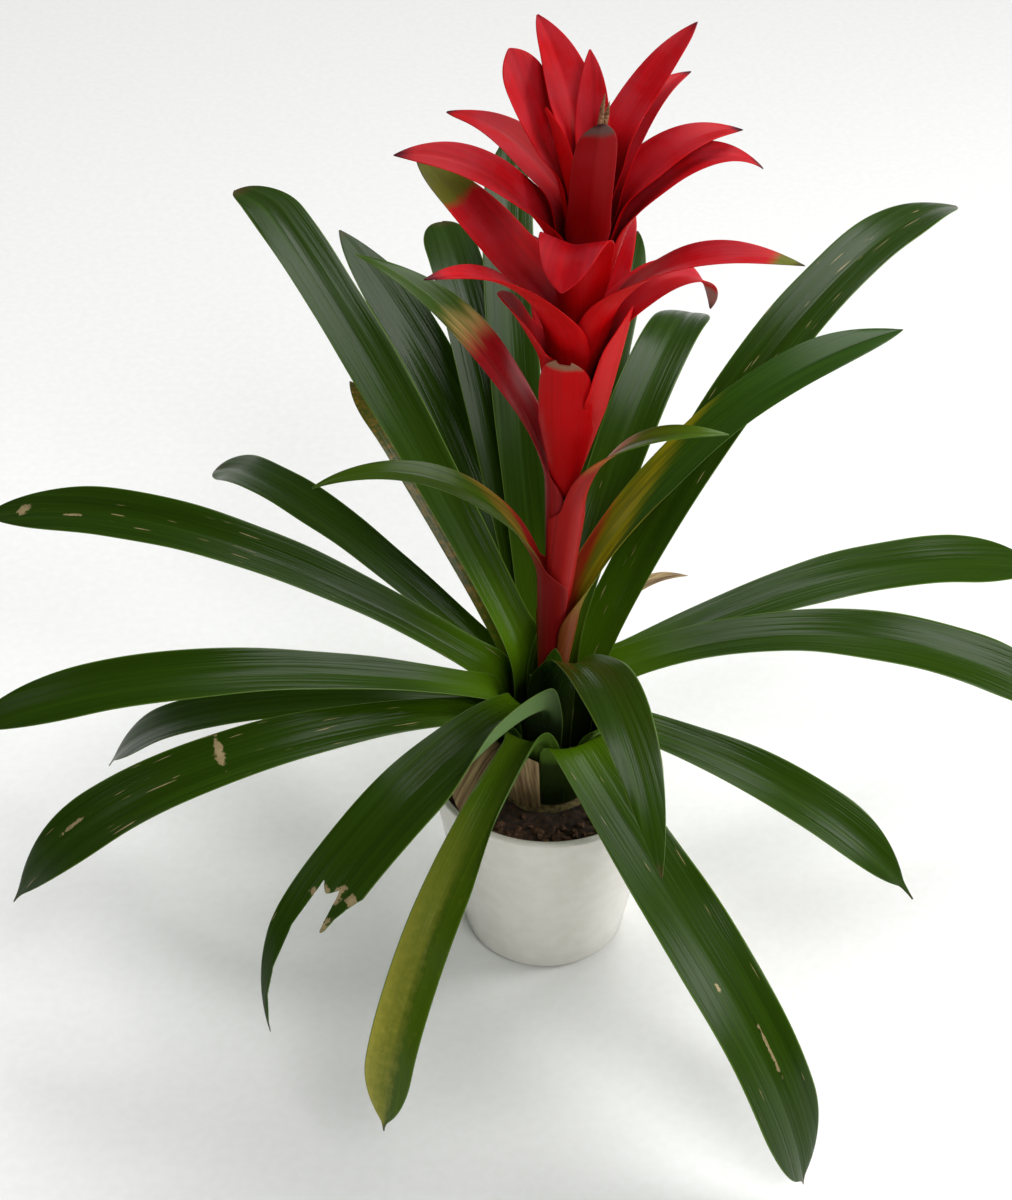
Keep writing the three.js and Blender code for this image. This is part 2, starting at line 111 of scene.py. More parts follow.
class Painter:
    """Builds one material on a plain surface shader.

    Attributes:
        material: The material.
        tree: Its node tree.
        shader: Its surface shader.
    """

    def __init__(self, name: str) -> None:
        """Starts the material under its name."""
        self.material = bpy.data.materials.new(name)
        self.material.use_nodes = True
        self.tree = self.material.node_tree
        self.shader = self.tree.nodes["Principled BSDF"]

    def feed(self, node: bpy.types.Node, inputs: Inputs) -> None:
        """Gives each named input of a node an output socket to link, or a value."""
        for key, value in inputs.items():
            if isinstance(value, bpy.types.NodeSocket):
                self.tree.links.new(value, node.inputs[key])
            else:
                node.inputs[key].default_value = value

    def add_node(
        self, kind: str, inputs: Inputs | None = None, output: str | int = 0, **settings: object
    ) -> bpy.types.NodeSocket:
        """Adds a shader node with its settings and links.

        Args:
            kind: The node's type, such as "ShaderNodeMix".
            inputs: What each input gets: an output socket to link, or a value.
            output: Which of its outputs is handed on.
            settings: Properties of the node itself.

        Returns:
            That output.
        """
        node = self.tree.nodes.new(kind)
        for name, value in settings.items():
            setattr(node, name, value)
        self.feed(node, inputs or {})
        return node.outputs[output]

    def cover(
        self,
        ground: Colour,
        driver: bpy.types.NodeSocket,
        reach: tuple[float, float],
        most: float | bpy.types.NodeSocket,
        colour: Colour,
        ease: str = "LINEAR",
    ) -> bpy.types.NodeSocket:
        """Lays a colour over another one where a value passes through a range.

        Args:
            ground: The colour that lies below.
            driver: The value.
            reach: Where the upper colour starts to show, and where it shows most.
            most: How much it shows there, from 0 to 1.
            colour: The upper colour.
            ease: How it grows between the two.

        Returns:
            The covered colour.
        """
        below, above = (linear(one) if isinstance(one, str) else one for one in (ground, colour))
        share = self.add_node(
            "ShaderNodeMapRange",
            {0: driver, 1: reach[0], 2: reach[1], 4: most},
            interpolation_type=ease,
        )
        return self.add_node("ShaderNodeMix", {0: share, 6: below, 7: above}, 2, data_type="RGBA")

    def blade_places(self) -> tuple[bpy.types.NodeSocket, bpy.types.NodeSocket, bpy.types.NodeSocket]:
        """Returns a blade's own map in shares, then its share across, then along: 0.5 throat, 1 tip."""
        share = self.add_node("ShaderNodeUVMap", uv_map=UV_SHARE)
        across = self.add_node("ShaderNodeSeparateXYZ", {0: share})
        return share, across, across.node.outputs[1]

    def streaks(self, across: float, along: float, detail: float) -> bpy.types.NodeSocket:
        """Adds a cloud that is drawn out along a blade, as ribs, veins and fibres are.

        Args:
            across: How many of its waves go in a metre across the blade.
            along: How many go in a metre along it.
            detail: How many finer waves it has.

        Returns:
            The height of the cloud.
        """
        real = self.add_node("ShaderNodeUVMap", uv_map=UV_REAL)
        drawn = self.add_node("ShaderNodeMapping", {"Vector": real, "Scale": (across, along, 1)})
        return self.add_node("ShaderNodeTexNoise", {"Vector": drawn, "Scale": 1.0, "Detail": detail})

    def ragged(
        self, level: bpy.types.NodeSocket, cloud: bpy.types.NodeSocket, depth: float
    ) -> bpy.types.NodeSocket:
        """Returns a level that a cloud moves up and down, by half the depth each way."""
        moved = self.add_node("ShaderNodeMath", {0: cloud, 1: depth, 2: -depth / 2}, operation="MULTIPLY_ADD")
        return self.add_node("ShaderNodeMath", {0: level, 1: moved}, operation="ADD")


class Face(Enum):
    """Which side of a blade a finish is for."""

    UPPER = "upper"
    UNDER = "under"


class Tip(Enum):
    """How the end of a bract has aged."""

    FRESH = "fresh"
    DARK = "dark"
    WITHERED = "withered"
    CAPPED = "capped"
    RIMMED = "rimmed"
    GREEN = "green"
    GREEN_SPOT = "green_spot"


@dataclass(frozen=True)
class LeafFinish:
    """Glossy skin of a living strap leaf, with fine ribs along it and dry scars.

    Attributes:
        name: The material's name.
        deep: Colour of the darker streaks.
        fresh: Colour of the lighter streaks.
        base: Colour towards the foot: the leaf's own yellow-green, and painted shade in the dark heart
            finishes.
        base_until: Where along the leaf the base colour has gone, 0.5 at the throat and 1 at the tip.
        sheath: Colour of the painted shade on the sheath below the throat.
        mottle: How much of the leaf is blotched with the mottle colour.
        mottle_colour: Colour of the blotches.
        yellowing_and_sheen: How far yellowed skin with painted highlight creeps in from the left margin, 0 to
            1.
        scar_share: How much of the leaf has dry streaks, from 0 to 1.
        scars: Larger scars: place across and along in shares, then length and width in shares.
        roughness: Roughness of the skin between the ribs.
    """

    name: str
    deep: str = "#162802"
    fresh: str = "#375606"
    base: str = "#4f7208"
    base_until: float = 0.63
    sheath: str = "#1a2408"
    mottle: float = 0.0
    mottle_colour: str = "#9a9a2c"
    yellowing_and_sheen: float = 0.0
    scar_share: float = 0.25
    scars: tuple[tuple[float, float, float, float], ...] = ()
    roughness: float = 0.25

    def build(self) -> bpy.types.Material:
        """Returns the material."""
        # The waxy skin is smooth between ribs about 1.5 mm apart, so highlights run along the blade
        paint = Painter(self.name)
        share, across, along = paint.blade_places()
        ribs = paint.streaks(620, 7, 2.0)
        bands = paint.streaks(170, 3.5, 3.0)
        real = paint.add_node("ShaderNodeUVMap", uv_map=UV_REAL)
        blotches = paint.add_node(
            "ShaderNodeTexNoise", {"Vector": real, "Scale": 190.0, "Detail": 5.0, "Roughness": 0.7}
        )
        tone = paint.add_node("ShaderNodeMath", {0: ribs, 1: bands, 2: 0.1}, operation="MULTIPLY_ADD")
        skin = paint.cover(self.deep, tone, (0, 1), 1, self.fresh)
        blotched = (0.62 - 0.25 * self.mottle, 0.78 - 0.2 * self.mottle)
        skin = paint.cover(skin, blotches, blotched, self.mottle, self.mottle_colour)
        # Towards the foot: the leaf's own yellow-green, and in the dark heart finishes painted shade of the
        # heart
        skin = paint.cover(skin, along, (self.base_until, 0.49), 0.85, self.base, "SMOOTHSTEP")
        # Painted shade: the sheath below the throat is near-black, deep inside the rosette
        skin = paint.cover(skin, along, (0.51, 0.43), 0.9, self.sheath)

        # The left margin is yellowed, with a ragged edge and more so towards the tip, and the pale yellow
        # is partly painted highlight where the light falls on that side
        edge = paint.add_node("ShaderNodeMath", {0: bands, 1: 0.9, 2: across}, operation="MULTIPLY_ADD")
        edge = paint.add_node("ShaderNodeMath", {0: blotches, 1: 0.8, 2: edge}, operation="MULTIPLY_ADD")
        yellow_sheen_reach = paint.add_node("ShaderNodeMapRange", {0: along, 1: 0.64, 2: 0.88, 4: self.yellowing_and_sheen})
        skin = paint.cover(skin, edge, (1.6, 0.8), yellow_sheen_reach, "#b8b04a")
        # Both margins get a thin paler strip: partly their own paler colour, partly painted highlight on the
        # edges
        from_middle = paint.add_node("ShaderNodeMath", {0: across, 1: 0.5}, operation="SUBTRACT")
        from_middle = paint.add_node("ShaderNodeMath", {0: from_middle}, operation="ABSOLUTE")
        skin = paint.cover(skin, from_middle, (0.475, 0.5), 0.6, "#5f7a2c")

        # Old scratches have dried to tan, and so has the very tip
        scratches = paint.streaks(760, 32, 1.0)
        threshold = 0.84 - 0.15 * self.scar_share
        scratched = {0: scratches, 1: threshold, 2: threshold + 0.03, 4: 0.9}
        dry = paint.add_node("ShaderNodeMapRange", scratched)
        for scar in self.scars:
            dry = self.add_scar(paint, share, blotches, dry, scar)
        dried = paint.cover("#4e3a22", blotches, (0, 1), 1, "#d2bd8c")
        skin = paint.cover(skin, dry, (0, 1), 1, dried)
        skin = paint.cover(skin, along, (0.985, 0.998), 0.8, "#4a3c20")

        smooth, rough = self.roughness - 0.05, self.roughness + 0.1
        gloss = paint.add_node("ShaderNodeMapRange", {0: bands, 1: 0.3, 2: 0.7, 3: smooth, 4: rough})
        waves = paint.add_node("ShaderNodeBump", {"Height": bands, "Strength": 0.5, "Distance": 0.0016})
        relief = paint.add_node(
            "ShaderNodeBump", {"Height": ribs, "Strength": 0.4, "Distance": 0.0006, "Normal": waves}
        )
        looks = {"Base Color": skin, "Roughness": gloss, "Normal": relief, "Specular IOR Level": 0.1}
        paint.feed(paint.shader, looks)
        return paint.material

    @staticmethod
    def add_scar(
        paint: Painter,
        share: bpy.types.NodeSocket,
        rough: bpy.types.NodeSocket,
        before: bpy.types.NodeSocket,
        scar: tuple[float, float, float, float],
    ) -> bpy.types.NodeSocket:
        """Adds one larger scar with a ragged outline.

        Args:
            paint: The material.
            share: Where a point lies on the leaf, in shares.
            rough: A cloud that makes the outline ragged.
            before: How dry the leaf is without this scar.
            scar: Place across and along in shares, then length and width in shares.

        Returns:
            How dry the leaf is with it.
        """
        across, along, length, width = scar
        place = (-across / width, -along / length, 0)
        scale = (1 / width, 1 / length, 1)
        local = paint.add_node("ShaderNodeMapping", {"Vector": share, "Location": place, "Scale": scale})
        away = paint.add_node("ShaderNodeVectorMath", {0: local}, "Value", operation="LENGTH")
        away = paint.add_node("ShaderNodeMath", {0: rough, 1: 2.4, 2: away}, operation="MULTIPLY_ADD")
        inside = paint.add_node("ShaderNodeMapRange", {0: away, 1: 1.75, 2: 1.6, 4: 0.95})
        return paint.add_node("ShaderNodeMath", {0: before, 1: inside}, operation="MAXIMUM")


@dataclass(frozen=True)
class StalkLeafFinish:
    """Skin of a leaf on the flower stalk: green at the tip, then a tan or yellow band, then red.

    Attributes:
        name: The material's name.
        face: The side of the leaf.
        red_until: Where the red ends, with 0.5 at the throat and 1 at the tip.
        band_until: Where the yellow band ends and the green starts.
        red: Colour of the foot.
        band: Colour of the band.
        green: Colour of the outer part.
        slant: How much further the red follows one margin than the other.
    """

    name: str
    face: Face
    red_until: float
    band_until: float
    red: str
    band: str
    green: str
    slant: float = 0.0

    def build(self) -> bpy.types.Material:
        """Returns the material."""
        # The colours run into each other along the ribs, as they do where a leaf turns into a bract
        paint = Painter(self.name)
        _, across, along = paint.blade_places()
        ribs = paint.streaks(560, 8, 2.0)
        patches = paint.streaks(240, 20, 3.0)
        level = paint.ragged(along, patches, 0.07)
        slanted = {0: across, 1: self.slant, 2: level}
        level = paint.add_node("ShaderNodeMath", slanted, operation="MULTIPLY_ADD")
        band = paint.cover(self.band, patches, (0.42, 0.66), 0.6, self.green)
        out_of_red = (self.red_until - 0.04, self.red_until + 0.02)
        into_green = (self.band_until - 0.05, self.band_until + 0.03)
        skin = paint.cover(self.red, level, out_of_red, 1, band, "SMOOTHSTEP")
        skin = paint.cover(skin, level, into_green, 1, self.green, "SMOOTHSTEP")
        shade = paint.add_node("ShaderNodeMapRange", {0: ribs, 1: 0.25, 2: 0.75, 3: 0.6, 4: 1.15})
        ribbed = {0: 1.0, 6: skin, 7: shade}
        skin = paint.add_node("ShaderNodeMix", ribbed, 2, data_type="RGBA", blend_type="MULTIPLY")
        relief = paint.add_node("ShaderNodeBump", {"Height": ribs, "Strength": 0.3, "Distance": 0.0005})
        paint.feed(paint.shader, {"Base Color": skin, "Normal": relief, "Specular IOR Level": 0.12})
        paint.feed(paint.shader, {"Roughness": 0.3 if self.face is Face.UPPER else 0.45})
        return paint.material


@dataclass(frozen=True)
class BractFinish:
    """Satin scarlet skin of a flower bract, with painted shade in its hollow foot.

    Attributes:
        name: The material's name.
        face: The side of the bract.
        tip: How its end has aged.
        red: Main colour.
        deep: Colour of the darker veins and of the painted shade in the foot.
    """

    name: str
    face: Face
    tip: Tip
    red: str
    deep: str

    # The colour of each kind of end, and where it starts along the bract
    ENDS = {
        Tip.FRESH: ("#9c2430", 0.985),
        Tip.DARK: ("#5c1420", 0.95),
        Tip.WITHERED: ("#a07a70", 0.9),
        Tip.CAPPED: ("#54403a", 0.925),
        Tip.RIMMED: ("#8c6850", 0.912),
        Tip.GREEN: ("#5a6a1e", 0.84),
        Tip.GREEN_SPOT: ("#5a6a1e", 0.915),
    }

    def build(self) -> bpy.types.Material:
        """Returns the material."""
        # Soft living tissue: light goes a little way in, thin veins run to the point, and pink clouds of
        # painted sheen lie over it, strong on the inner face and faint on the outer.
        paint = Painter(self.name)
        along = paint.blade_places()[2]
        veins = paint.streaks(520, 9, 2.0)
        real = paint.add_node("ShaderNodeUVMap", uv_map=UV_REAL)
        cloud = paint.add_node("ShaderNodeTexNoise", {"Vector": real, "Scale": 55.0, "Detail": 3.0})
        pink_sheen, depth = (0.42, 0.75) if self.face is Face.UPPER else (0.08, 0.15)
        skin = paint.cover(self.red, veins, (0.35, 0.75), 0.28, self.deep)
        # Painted sheen: pink clouds stand in for the dull highlights of the light from above
        skin = paint.cover(skin, cloud, (0.4, 0.7), pink_sheen, "#b03a46")
        # Painted shade: the foot darkens towards the stalk, strongly on the inner face in the hollow,
        # slightly on the outer
        skin = paint.cover(skin, along, (0.66, 0.4), depth, self.deep, "SMOOTHSTEP")

        # The end has aged from its point inwards, with an uneven edge
        level = paint.ragged(along, cloud, 0.09)
        end_colour, end_from = self.ENDS[self.tip]
        dark_point = 0.0 if self.tip is Tip.FRESH else 0.9
        skin = paint.cover(skin, level, (end_from, end_from + 0.03), 0.95, end_colour)
        skin = paint.cover(skin, level, (0.975, 1.0), dark_point, "#2a0e12")

        gloss = paint.add_node("ShaderNodeMapRange", {0: cloud, 1: 0.3, 2: 0.7, 3: 0.42, 4: 0.56})
        relief = paint.add_node("ShaderNodeBump", {"Height": veins, "Strength": 0.3, "Distance": 0.0004})
        looks = {
            "Base Color": skin,
            "Roughness": gloss,
            "Normal": relief,
            "Specular IOR Level": 0.13,
            "Specular Tint": linear("#f2b0b0"),
            "Subsurface Weight": 0.12,
            "Subsurface Radius": (1.0, 0.15, 0.08),
            "Subsurface Scale": 0.002,
        }
        paint.feed(paint.shader, looks)
        return paint.material


@dataclass(frozen=True)
class DryFinish:
    """Dead, papery leaf remains with fibres along them.

    Attributes:
        name: The material's name.
        pale: Colour of the raised fibres.
        dark: Colour between them.
    """

    name: str
    pale: str = "#b39a6c"
    dark: str = "#5e4228"

    def build(self) -> bpy.types.Material:
        """Returns the material."""
        # Dry fibres scatter the light, with no gloss left
        paint = Painter(self.name)
        fibres = paint.streaks(480, 22, 5.0)
        skin = paint.cover(self.dark, fibres, (0.35, 0.65), 1, self.pale)
        relief = paint.add_node("ShaderNodeBump", {"Height": fibres, "Strength": 0.7, "Distance": 0.001})
        paint.feed(paint.shader, {"Base Color": skin, "Normal": relief, "Roughness": 0.85})
        return paint.material


@dataclass(frozen=True)
class GrainFinish:
    """A matt or satin surface with a fine grain, for bark, the woody stem, the glaze and the floor.

    Attributes:
        name: The material's name.
        light: Colour of the high grain.
        dark: Colour of the low grain.
        grain_mm: Size of the grain.
        roughness: Roughness of the surface.
        relief_mm: Height of the grain.
        coat: Weight of a clear glaze over it.
    """

    name: str
    light: str
    dark: str
    grain_mm: float
    roughness: float
    relief_mm: float
    coat: float = 0.0

    def build(self) -> bpy.types.Material:
        """Returns the material."""
        # The grain is a cloud at its real size, seen in the colour and in the relief
        paint = Painter(self.name)
        place = paint.add_node("ShaderNodeTexCoord", output="Object")
        waves = {"Vector": place, "Scale": 1000 / self.grain_mm, "Detail": 4.0}
        grain = paint.add_node("ShaderNodeTexNoise", waves)
        skin = paint.cover(self.dark, grain, (0.35, 0.65), 1, self.light)
        height = {"Height": grain, "Strength": 0.6, "Distance": self.relief_mm * MM}
        relief = paint.add_node("ShaderNodeBump", height)
        looks = {
            "Base Color": skin,
            "Normal": relief,
            "Roughness": self.roughness,
            "Coat Weight": self.coat,
            "Coat Roughness": 0.12,
        }
        paint.feed(paint.shader, looks)
        return paint.material


DARK_LEAF = LeafFinish("dark_glossy_leaf")
SCARRED_LEAF = LeafFinish("scarred_leaf", scar_share=0.9)
END_SCARRED_LEAF = LeafFinish(
    "end_scarred_leaf", scar_share=0.8, scars=((0.5, 0.955, 0.012, 0.3), (0.6, 0.9, 0.016, 0.05))
)
CROSS_SCARRED_LEAF = LeafFinish(
    "cross_scarred_leaf", scar_share=0.9, scars=((0.36, 0.765, 0.007, 0.45), (0.35, 0.9, 0.03, 0.05))
)
LONG_SCARRED_LEAF = LeafFinish(
    "long_scarred_leaf", scar_share=0.7, scars=((0.62, 0.86, 0.045, 0.035), (0.4, 0.79, 0.008, 0.06))
)
TORN_RIM_LEAF = LeafFinish(
    "torn_rim_leaf",
    scars=(
        (0.4, 0.858, 0.012, 0.2),
        (0.62, 0.85, 0.014, 0.16),
        (0.72, 0.88, 0.02, 0.12),
        (0.9, 0.848, 0.01, 0.2),
    ),
)
YELLOW_LEAF = LeafFinish(
    "yellow_mottled_leaf", deep="#2c4a08", fresh="#5d7410", base="#4f6a10", mottle=0.25,
    mottle_colour="#7d8424", yellowing_and_sheen=0.8, scar_share=0.2,
)
WORN_LEAF = LeafFinish(
    "worn_brown_tipped_leaf", deep="#2c3606", fresh="#56600e", mottle=0.7, mottle_colour="#8a641a"
)
# The heart leaf is painted near-black until 0.8 along its map, painted shade deep in the heart; its own fresh
# green shows towards the tip
FRESH_LEAF = LeafFinish(
    "fresh_heart_leaf", deep="#3c5c14", fresh="#5c7d1c", base="#141c06", base_until=0.8, scar_share=0.0
)
PALE_UNDERSIDE = LeafFinish(
    "pale_leaf_underside", deep="#3a5820", fresh="#5f7d3c", base="#4a661a", roughness=0.42
)
SHADED_UNDERSIDE = LeafFinish(
    "shaded_leaf_underside", deep="#4c6a34", fresh="#7c9460", base="#0d1406", base_until=0.58, roughness=0.5
)
# Painted shade: the outsides of the inner leaves are darker, and nearly black up to 0.82 of the map, as they
# lie in the heart's shade
SHADED_HEART_OUTSIDE = LeafFinish(
    "shaded_heart_leaf_outside", deep="#2c4a0c", fresh="#40600e", base="#10180a", base_until=0.82, scar_share=0.0
)
DRY_LEAF = DryFinish("dry_leaf_fibre")

Finish = LeafFinish | StalkLeafFinish | BractFinish | DryFinish | GrainFinish


class Finishes:
    """Builds each finish once and hands it out by name."""

    def __init__(self) -> None:
        """Starts with no finish built."""
        self.built: dict[str, bpy.types.Material] = {}

    def get(self, finish: Finish) -> bpy.types.Material:
        """Returns the material of a finish, and builds it the first time."""
        if finish.name not in self.built:
            self.built[finish.name] = finish.build()
        return self.built[finish.name]


def spin_profile(bm: bmesh.types.BMesh, profile: Sequence[tuple[float, float]], sides: int) -> None:
    """Spins a profile round the Z axis.

    Args:
        bm: The bmesh that takes the shape.
        profile: Radius and height of each point, in millimetres, from the axis round to the axis.
        sides: How many sides the turned shape has.
    """
    verts = [bm.verts.new((radius * MM, 0, height * MM)) for radius, height in profile]
    edges = [bm.edges.new(pair) for pair in zip(verts, verts[1:])]
    bmesh.ops.spin(
        bm,
        geom=verts + edges,
        cent=(0, 0, 0),
        axis=(0, 0, 1),
        angle=math.tau,
        steps=sides,
        use_merge=True,
        use_duplicate=False,
    )


def close_and_turn_out(bm: bmesh.types.BMesh) -> None:
    """Closes the seams and poles of turned shapes and points their faces outwards."""
    bmesh.ops.remove_doubles(bm, verts=bm.verts, dist=MERGE_DISTANCE)
    bmesh.ops.recalc_face_normals(bm, faces=bm.faces)


def make_piece(bm: bmesh.types.BMesh, name: str, *materials: bpy.types.Material) -> bpy.types.Object:
    """Turns a bmesh into an object of the scene, and frees it.

    Args:
        bm: The shape.
        name: The piece's name.
        materials: Its materials, by slot.

    Returns:
        The piece.
    """
    mesh = bpy.data.meshes.new(name)
    bm.to_mesh(mesh)
    bm.free()
    for material in materials:
        mesh.materials.append(material)
    return add_object(name, mesh)


def add_object(name: str, data: bpy.types.ID) -> bpy.types.Object:
    """Returns a new object of the scene that holds a mesh, a light or a camera."""
    made = bpy.data.objects.new(name, data)
    bpy.context.scene.collection.objects.link(made)
    return made


def turned_piece(
    name: str, profile: Sequence[tuple[float, float]], sides: int, material: bpy.types.Material
) -> bpy.types.Object:
    """Makes a smooth piece from a profile that is spun round the Z axis.

    Args:
        name: The piece's name.
        profile: Radius and height of each point, in millimetres, from the axis round to the axis.
        sides: How many sides the turned piece has.
        material: Its finish.

    Returns:
        The finished piece.
    """
    bm = bmesh.new()
    spin_profile(bm, profile, sides)
    close_and_turn_out(bm)
    for face in bm.faces:
        face.smooth = True
    return make_piece(bm, name, material)


@dataclass(frozen=True)
class Station:
    """A place on a midrib, in millimetres.

    Attributes:
        t: -1 at the root, 0 at the throat where the blade leaves the sheath, 1 at the tip.
        centre: The midrib.
        upper: The way the upper face looks.
        sideways: The way across the blade.
    """

    t: float
    centre: Vector
    upper: Vector
    sideways: Vector


@dataclass(frozen=True)
class Blade:
    """A strap leaf or bract that leaves a rolled sheath and opens along its length.

    Attributes:
        name: The name of the solid that the blade stands for.
        side: Where it grows round the stem, in degrees from +X, counter-clockwise from above.
        rise: Slope as the blade leaves the throat.
        fall: Slope at the tip.
        length: Length from throat to tip.
        turn: How far it swings sideways.
        width: Its greatest width.
        curve: Above 1 the slope is kept longer before it falls.
        roll: How far the blade twists by its tip, in degrees.
        hook: How far the last tenth swings sideways, in degrees.
        taper_from: Where along the blade it starts to narrow to its tip.
        ripple: Height of the waves in its margins.
        thickness: Thickness at the middle.
        crease: Depth of the groove along the midrib, as a share of the width.
        point: 0.5 gives a round tip, 1 a sharp one.
        curl: How far the right margin of the first third is rolled up.
        drip: Length of the drawn-out point, as a share of the length.
        cup: How far round the open blade curls, in degrees.
        bend: Length in which the blade bends from the sheath's slope to its own.
        blade_rows: Rows of the grid along the blade.
        columns: Columns of the grid across it.
    """

    name: str
    side: float
    rise: float
    fall: float
    length: float
    turn: float
    width: float
    curve: float = 1.3
    roll: float = 0.0
    hook: float = 0.0
    taper_from: float = 0.76
    ripple: float = 0.4
    thickness: float = 1.0
    crease: float = 0.1
    point: float = 0.85
    curl: float = 0.0
    drip: float = 0.0

    cup: float = field(default=44, kw_only=True)
    bend: float = field(default=26, kw_only=True)
    blade_rows: int = field(default=66, kw_only=True)
    columns: int = field(default=12, kw_only=True)

    # Rows of the grid in the sheath, and the length that it takes on the blade's own map
    SHEATH_ROWS = 10
    SHEATH_ON_MAP = 40

    # The waist above the throat and the start of a drawn-out point, as shares of the width
    WAIST = 0.74
    DRAWN_OUT = 0.16

    # Width of the very tip, and the thickness of the margins as a share of the middle's
    TIP_WIDTH = 0.8
    MARGIN_FLESH = 0.55

    # Above 1 the rows lie closer together towards the tip
    ROW_CROWDING = 1.15

    # How far the two waves of a margin turn in a millimetre, and the height of the second
    FIRST_WAVE = 0.055
    SECOND_WAVE = 0.09
    SECOND_HEIGHT = 0.6

    def root(self) -> tuple[float, float]:
        """Returns the radius and the height where the sheath starts."""
        raise NotImplementedError

    def throat(self) -> tuple[float, float]:
        """Returns the radius and the height where the blade leaves the sheath."""
        raise NotImplementedError

    def throat_arc(self) -> float:
        """Returns how far round the stem the sheath goes, in radians."""
        raise NotImplementedError

    def width_at(self, t: float) -> float:
        """Returns the width at a place on the blade."""
        raise NotImplementedError

    def strap_width(self, throat_width: float, t: float) -> float:
        """Returns the width of a strap: a waist above the throat, then broad, then narrowing to the tip."""
        waist = lerp(throat_width, self.width * self.WAIST, smoothstep(t, 0, 0.1))
        body = lerp(waist, self.width, smoothstep(t, 0.08, 0.6))
        narrowing = max((t - self.taper_from) / (1 - self.drip - self.taper_from), 0)
        tail = self.TIP_WIDTH
        if self.drip:
            tail = lerp(self.width * self.DRAWN_OUT, tail, smoothstep(t, 1 - 2 * self.drip, 1.0))
        return max(body * max(1 - narrowing**2, 0) ** self.point, tail)

    def reach(self, across: float) -> float:
        """Returns how much of the length is left at a place across the blade, 1 where it is whole."""
        return 1.0

    def stations(self, steps: int = 180) -> list[Station]:
        """Follows the midrib from the root to the tip.

        Args:
            steps: How many steps the blade is walked in.

        Returns:
            The stations, from t -1 to t 1.
        """
        heading = math.radians(self.side)
        outward = Vector((math.cos(heading), math.sin(heading), 0))
        root_radius, root_height = self.root()
        throat_radius, throat_height = self.throat()
        sheath_slope = math.atan2(throat_height - root_height, throat_radius - root_radius)
        found: list[Station] = []

        def add(centre: Vector, slope: float, towards: float, t: float) -> None:
            """Adds a station."""
            ahead = Vector((math.cos(towards), math.sin(towards), 0))
            upper = -ahead * math.sin(slope) + Vector((0, 0, math.cos(slope)))
            sideways = Vector((-math.sin(towards), math.cos(towards), 0))
            roll = math.radians(self.roll) * smoothstep(t, 0.1, 1.0)
            face_way = upper * math.cos(roll) + sideways * math.sin(roll)
            across_way = sideways * math.cos(roll) - upper * math.sin(roll)
            found.append(Station(t, centre.copy(), face_way, across_way))

        for share in (0, 0.25, 0.5, 0.75):
            centre = outward * lerp(root_radius, throat_radius, share)
            centre.z = lerp(root_height, throat_height, share)
            add(centre, sheath_slope, heading, share - 1)
        centre = outward * throat_radius + Vector((0, 0, throat_height))
        add(centre, sheath_slope, heading, 0.0)
        stride = self.length / steps
        for step in range(steps):
            middle = (step + 0.5) / steps
            slope = self.slope_at(middle, sheath_slope)
            towards = self.heading_at(middle)
            flat = stride * math.cos(slope)
            centre += Vector((flat * math.cos(towards), flat * math.sin(towards), stride * math.sin(slope)))
            end = (step + 1) / steps
            add(centre, self.slope_at(end, sheath_slope), self.heading_at(end), end)
        return found

    def heading_at(self, t: float) -> float:
        """Returns the way the blade points at t, in radians."""
        return math.radians(self.side + self.turn * t + self.hook * smoothstep(t, 0.88, 1.0))

    def slope_at(self, t: float, sheath_slope: float) -> float:
        """Returns the slope of the blade at t, in radians, given the slope of its sheath."""
        blade_slope = math.radians(lerp(self.rise, self.fall, t**self.curve))
        return lerp(sheath_slope, blade_slope, smoothstep(t * self.length, 0, self.bend))

    def place(self, stations: list[Station], across: float, t: float) -> tuple[Vector, float]:
        """Finds a point of the blade.

        Args:
            stations: The midrib.
            across: -1 at one margin, 1 at the other.
            t: The place along the blade.

        Returns:
            The point in millimetres, and its distance from the midrib along the surface.
        """
        station = self.station_at(stations, t)
        along = max(t, 0.0)
        throat_radius = self.throat()[0]
        if t < 0:
            radius_here = lerp(self.root()[0], throat_radius, 1 + t)
            width = radius_here * self.throat_arc()
            opened = self.throat_arc()
        else:
            width = self.width_at(along)
            clasping = min(self.throat_arc(), width / throat_radius)
            opened = lerp(clasping, math.radians(self.cup), smoothstep(along, 0.06, 0.4))

        # Each cross-section is an arc, which flattens towards the tip
        arc = opened * lerp(1.0, 0.5, smoothstep(along, 0.7, 1.0))
        radius = width / arc
        swing = across * arc / 2
        lift = self.lift_at(across, along, width)
        rolled = self.curl * smoothstep(across, 0.6, 1.0) * smoothstep(along, 0.0, 0.06)
        rolled *= 1 - smoothstep(along, 0.3, 0.5)
        point = station.centre + station.upper * (radius * (1 - math.cos(swing)) + lift + rolled)
        point += station.sideways * (radius * math.sin(swing) - rolled * 0.6)
        point.x += LEAN_SLOPE * max(point.z - LEAN_START, 0)
        return point, across * width / 2

    def lift_at(self, across: float, along: float, width: float) -> float:
        """Returns how far the waves of the margins and the groove of the midrib lift a point."""
        phase = self.side * 0.7
        waves = math.sin(along * self.length * self.FIRST_WAVE + phase) * math.copysign(1, across)
        waves += math.sin(along * self.length * self.SECOND_WAVE + phase * 2) * self.SECOND_HEIGHT
        lift = self.ripple * across * across * waves * smoothstep(along, 0.12, 0.4)
        lift += self.crease * width * (abs(across) - across * across) * smoothstep(along, 0.02, 0.2)
        return lift

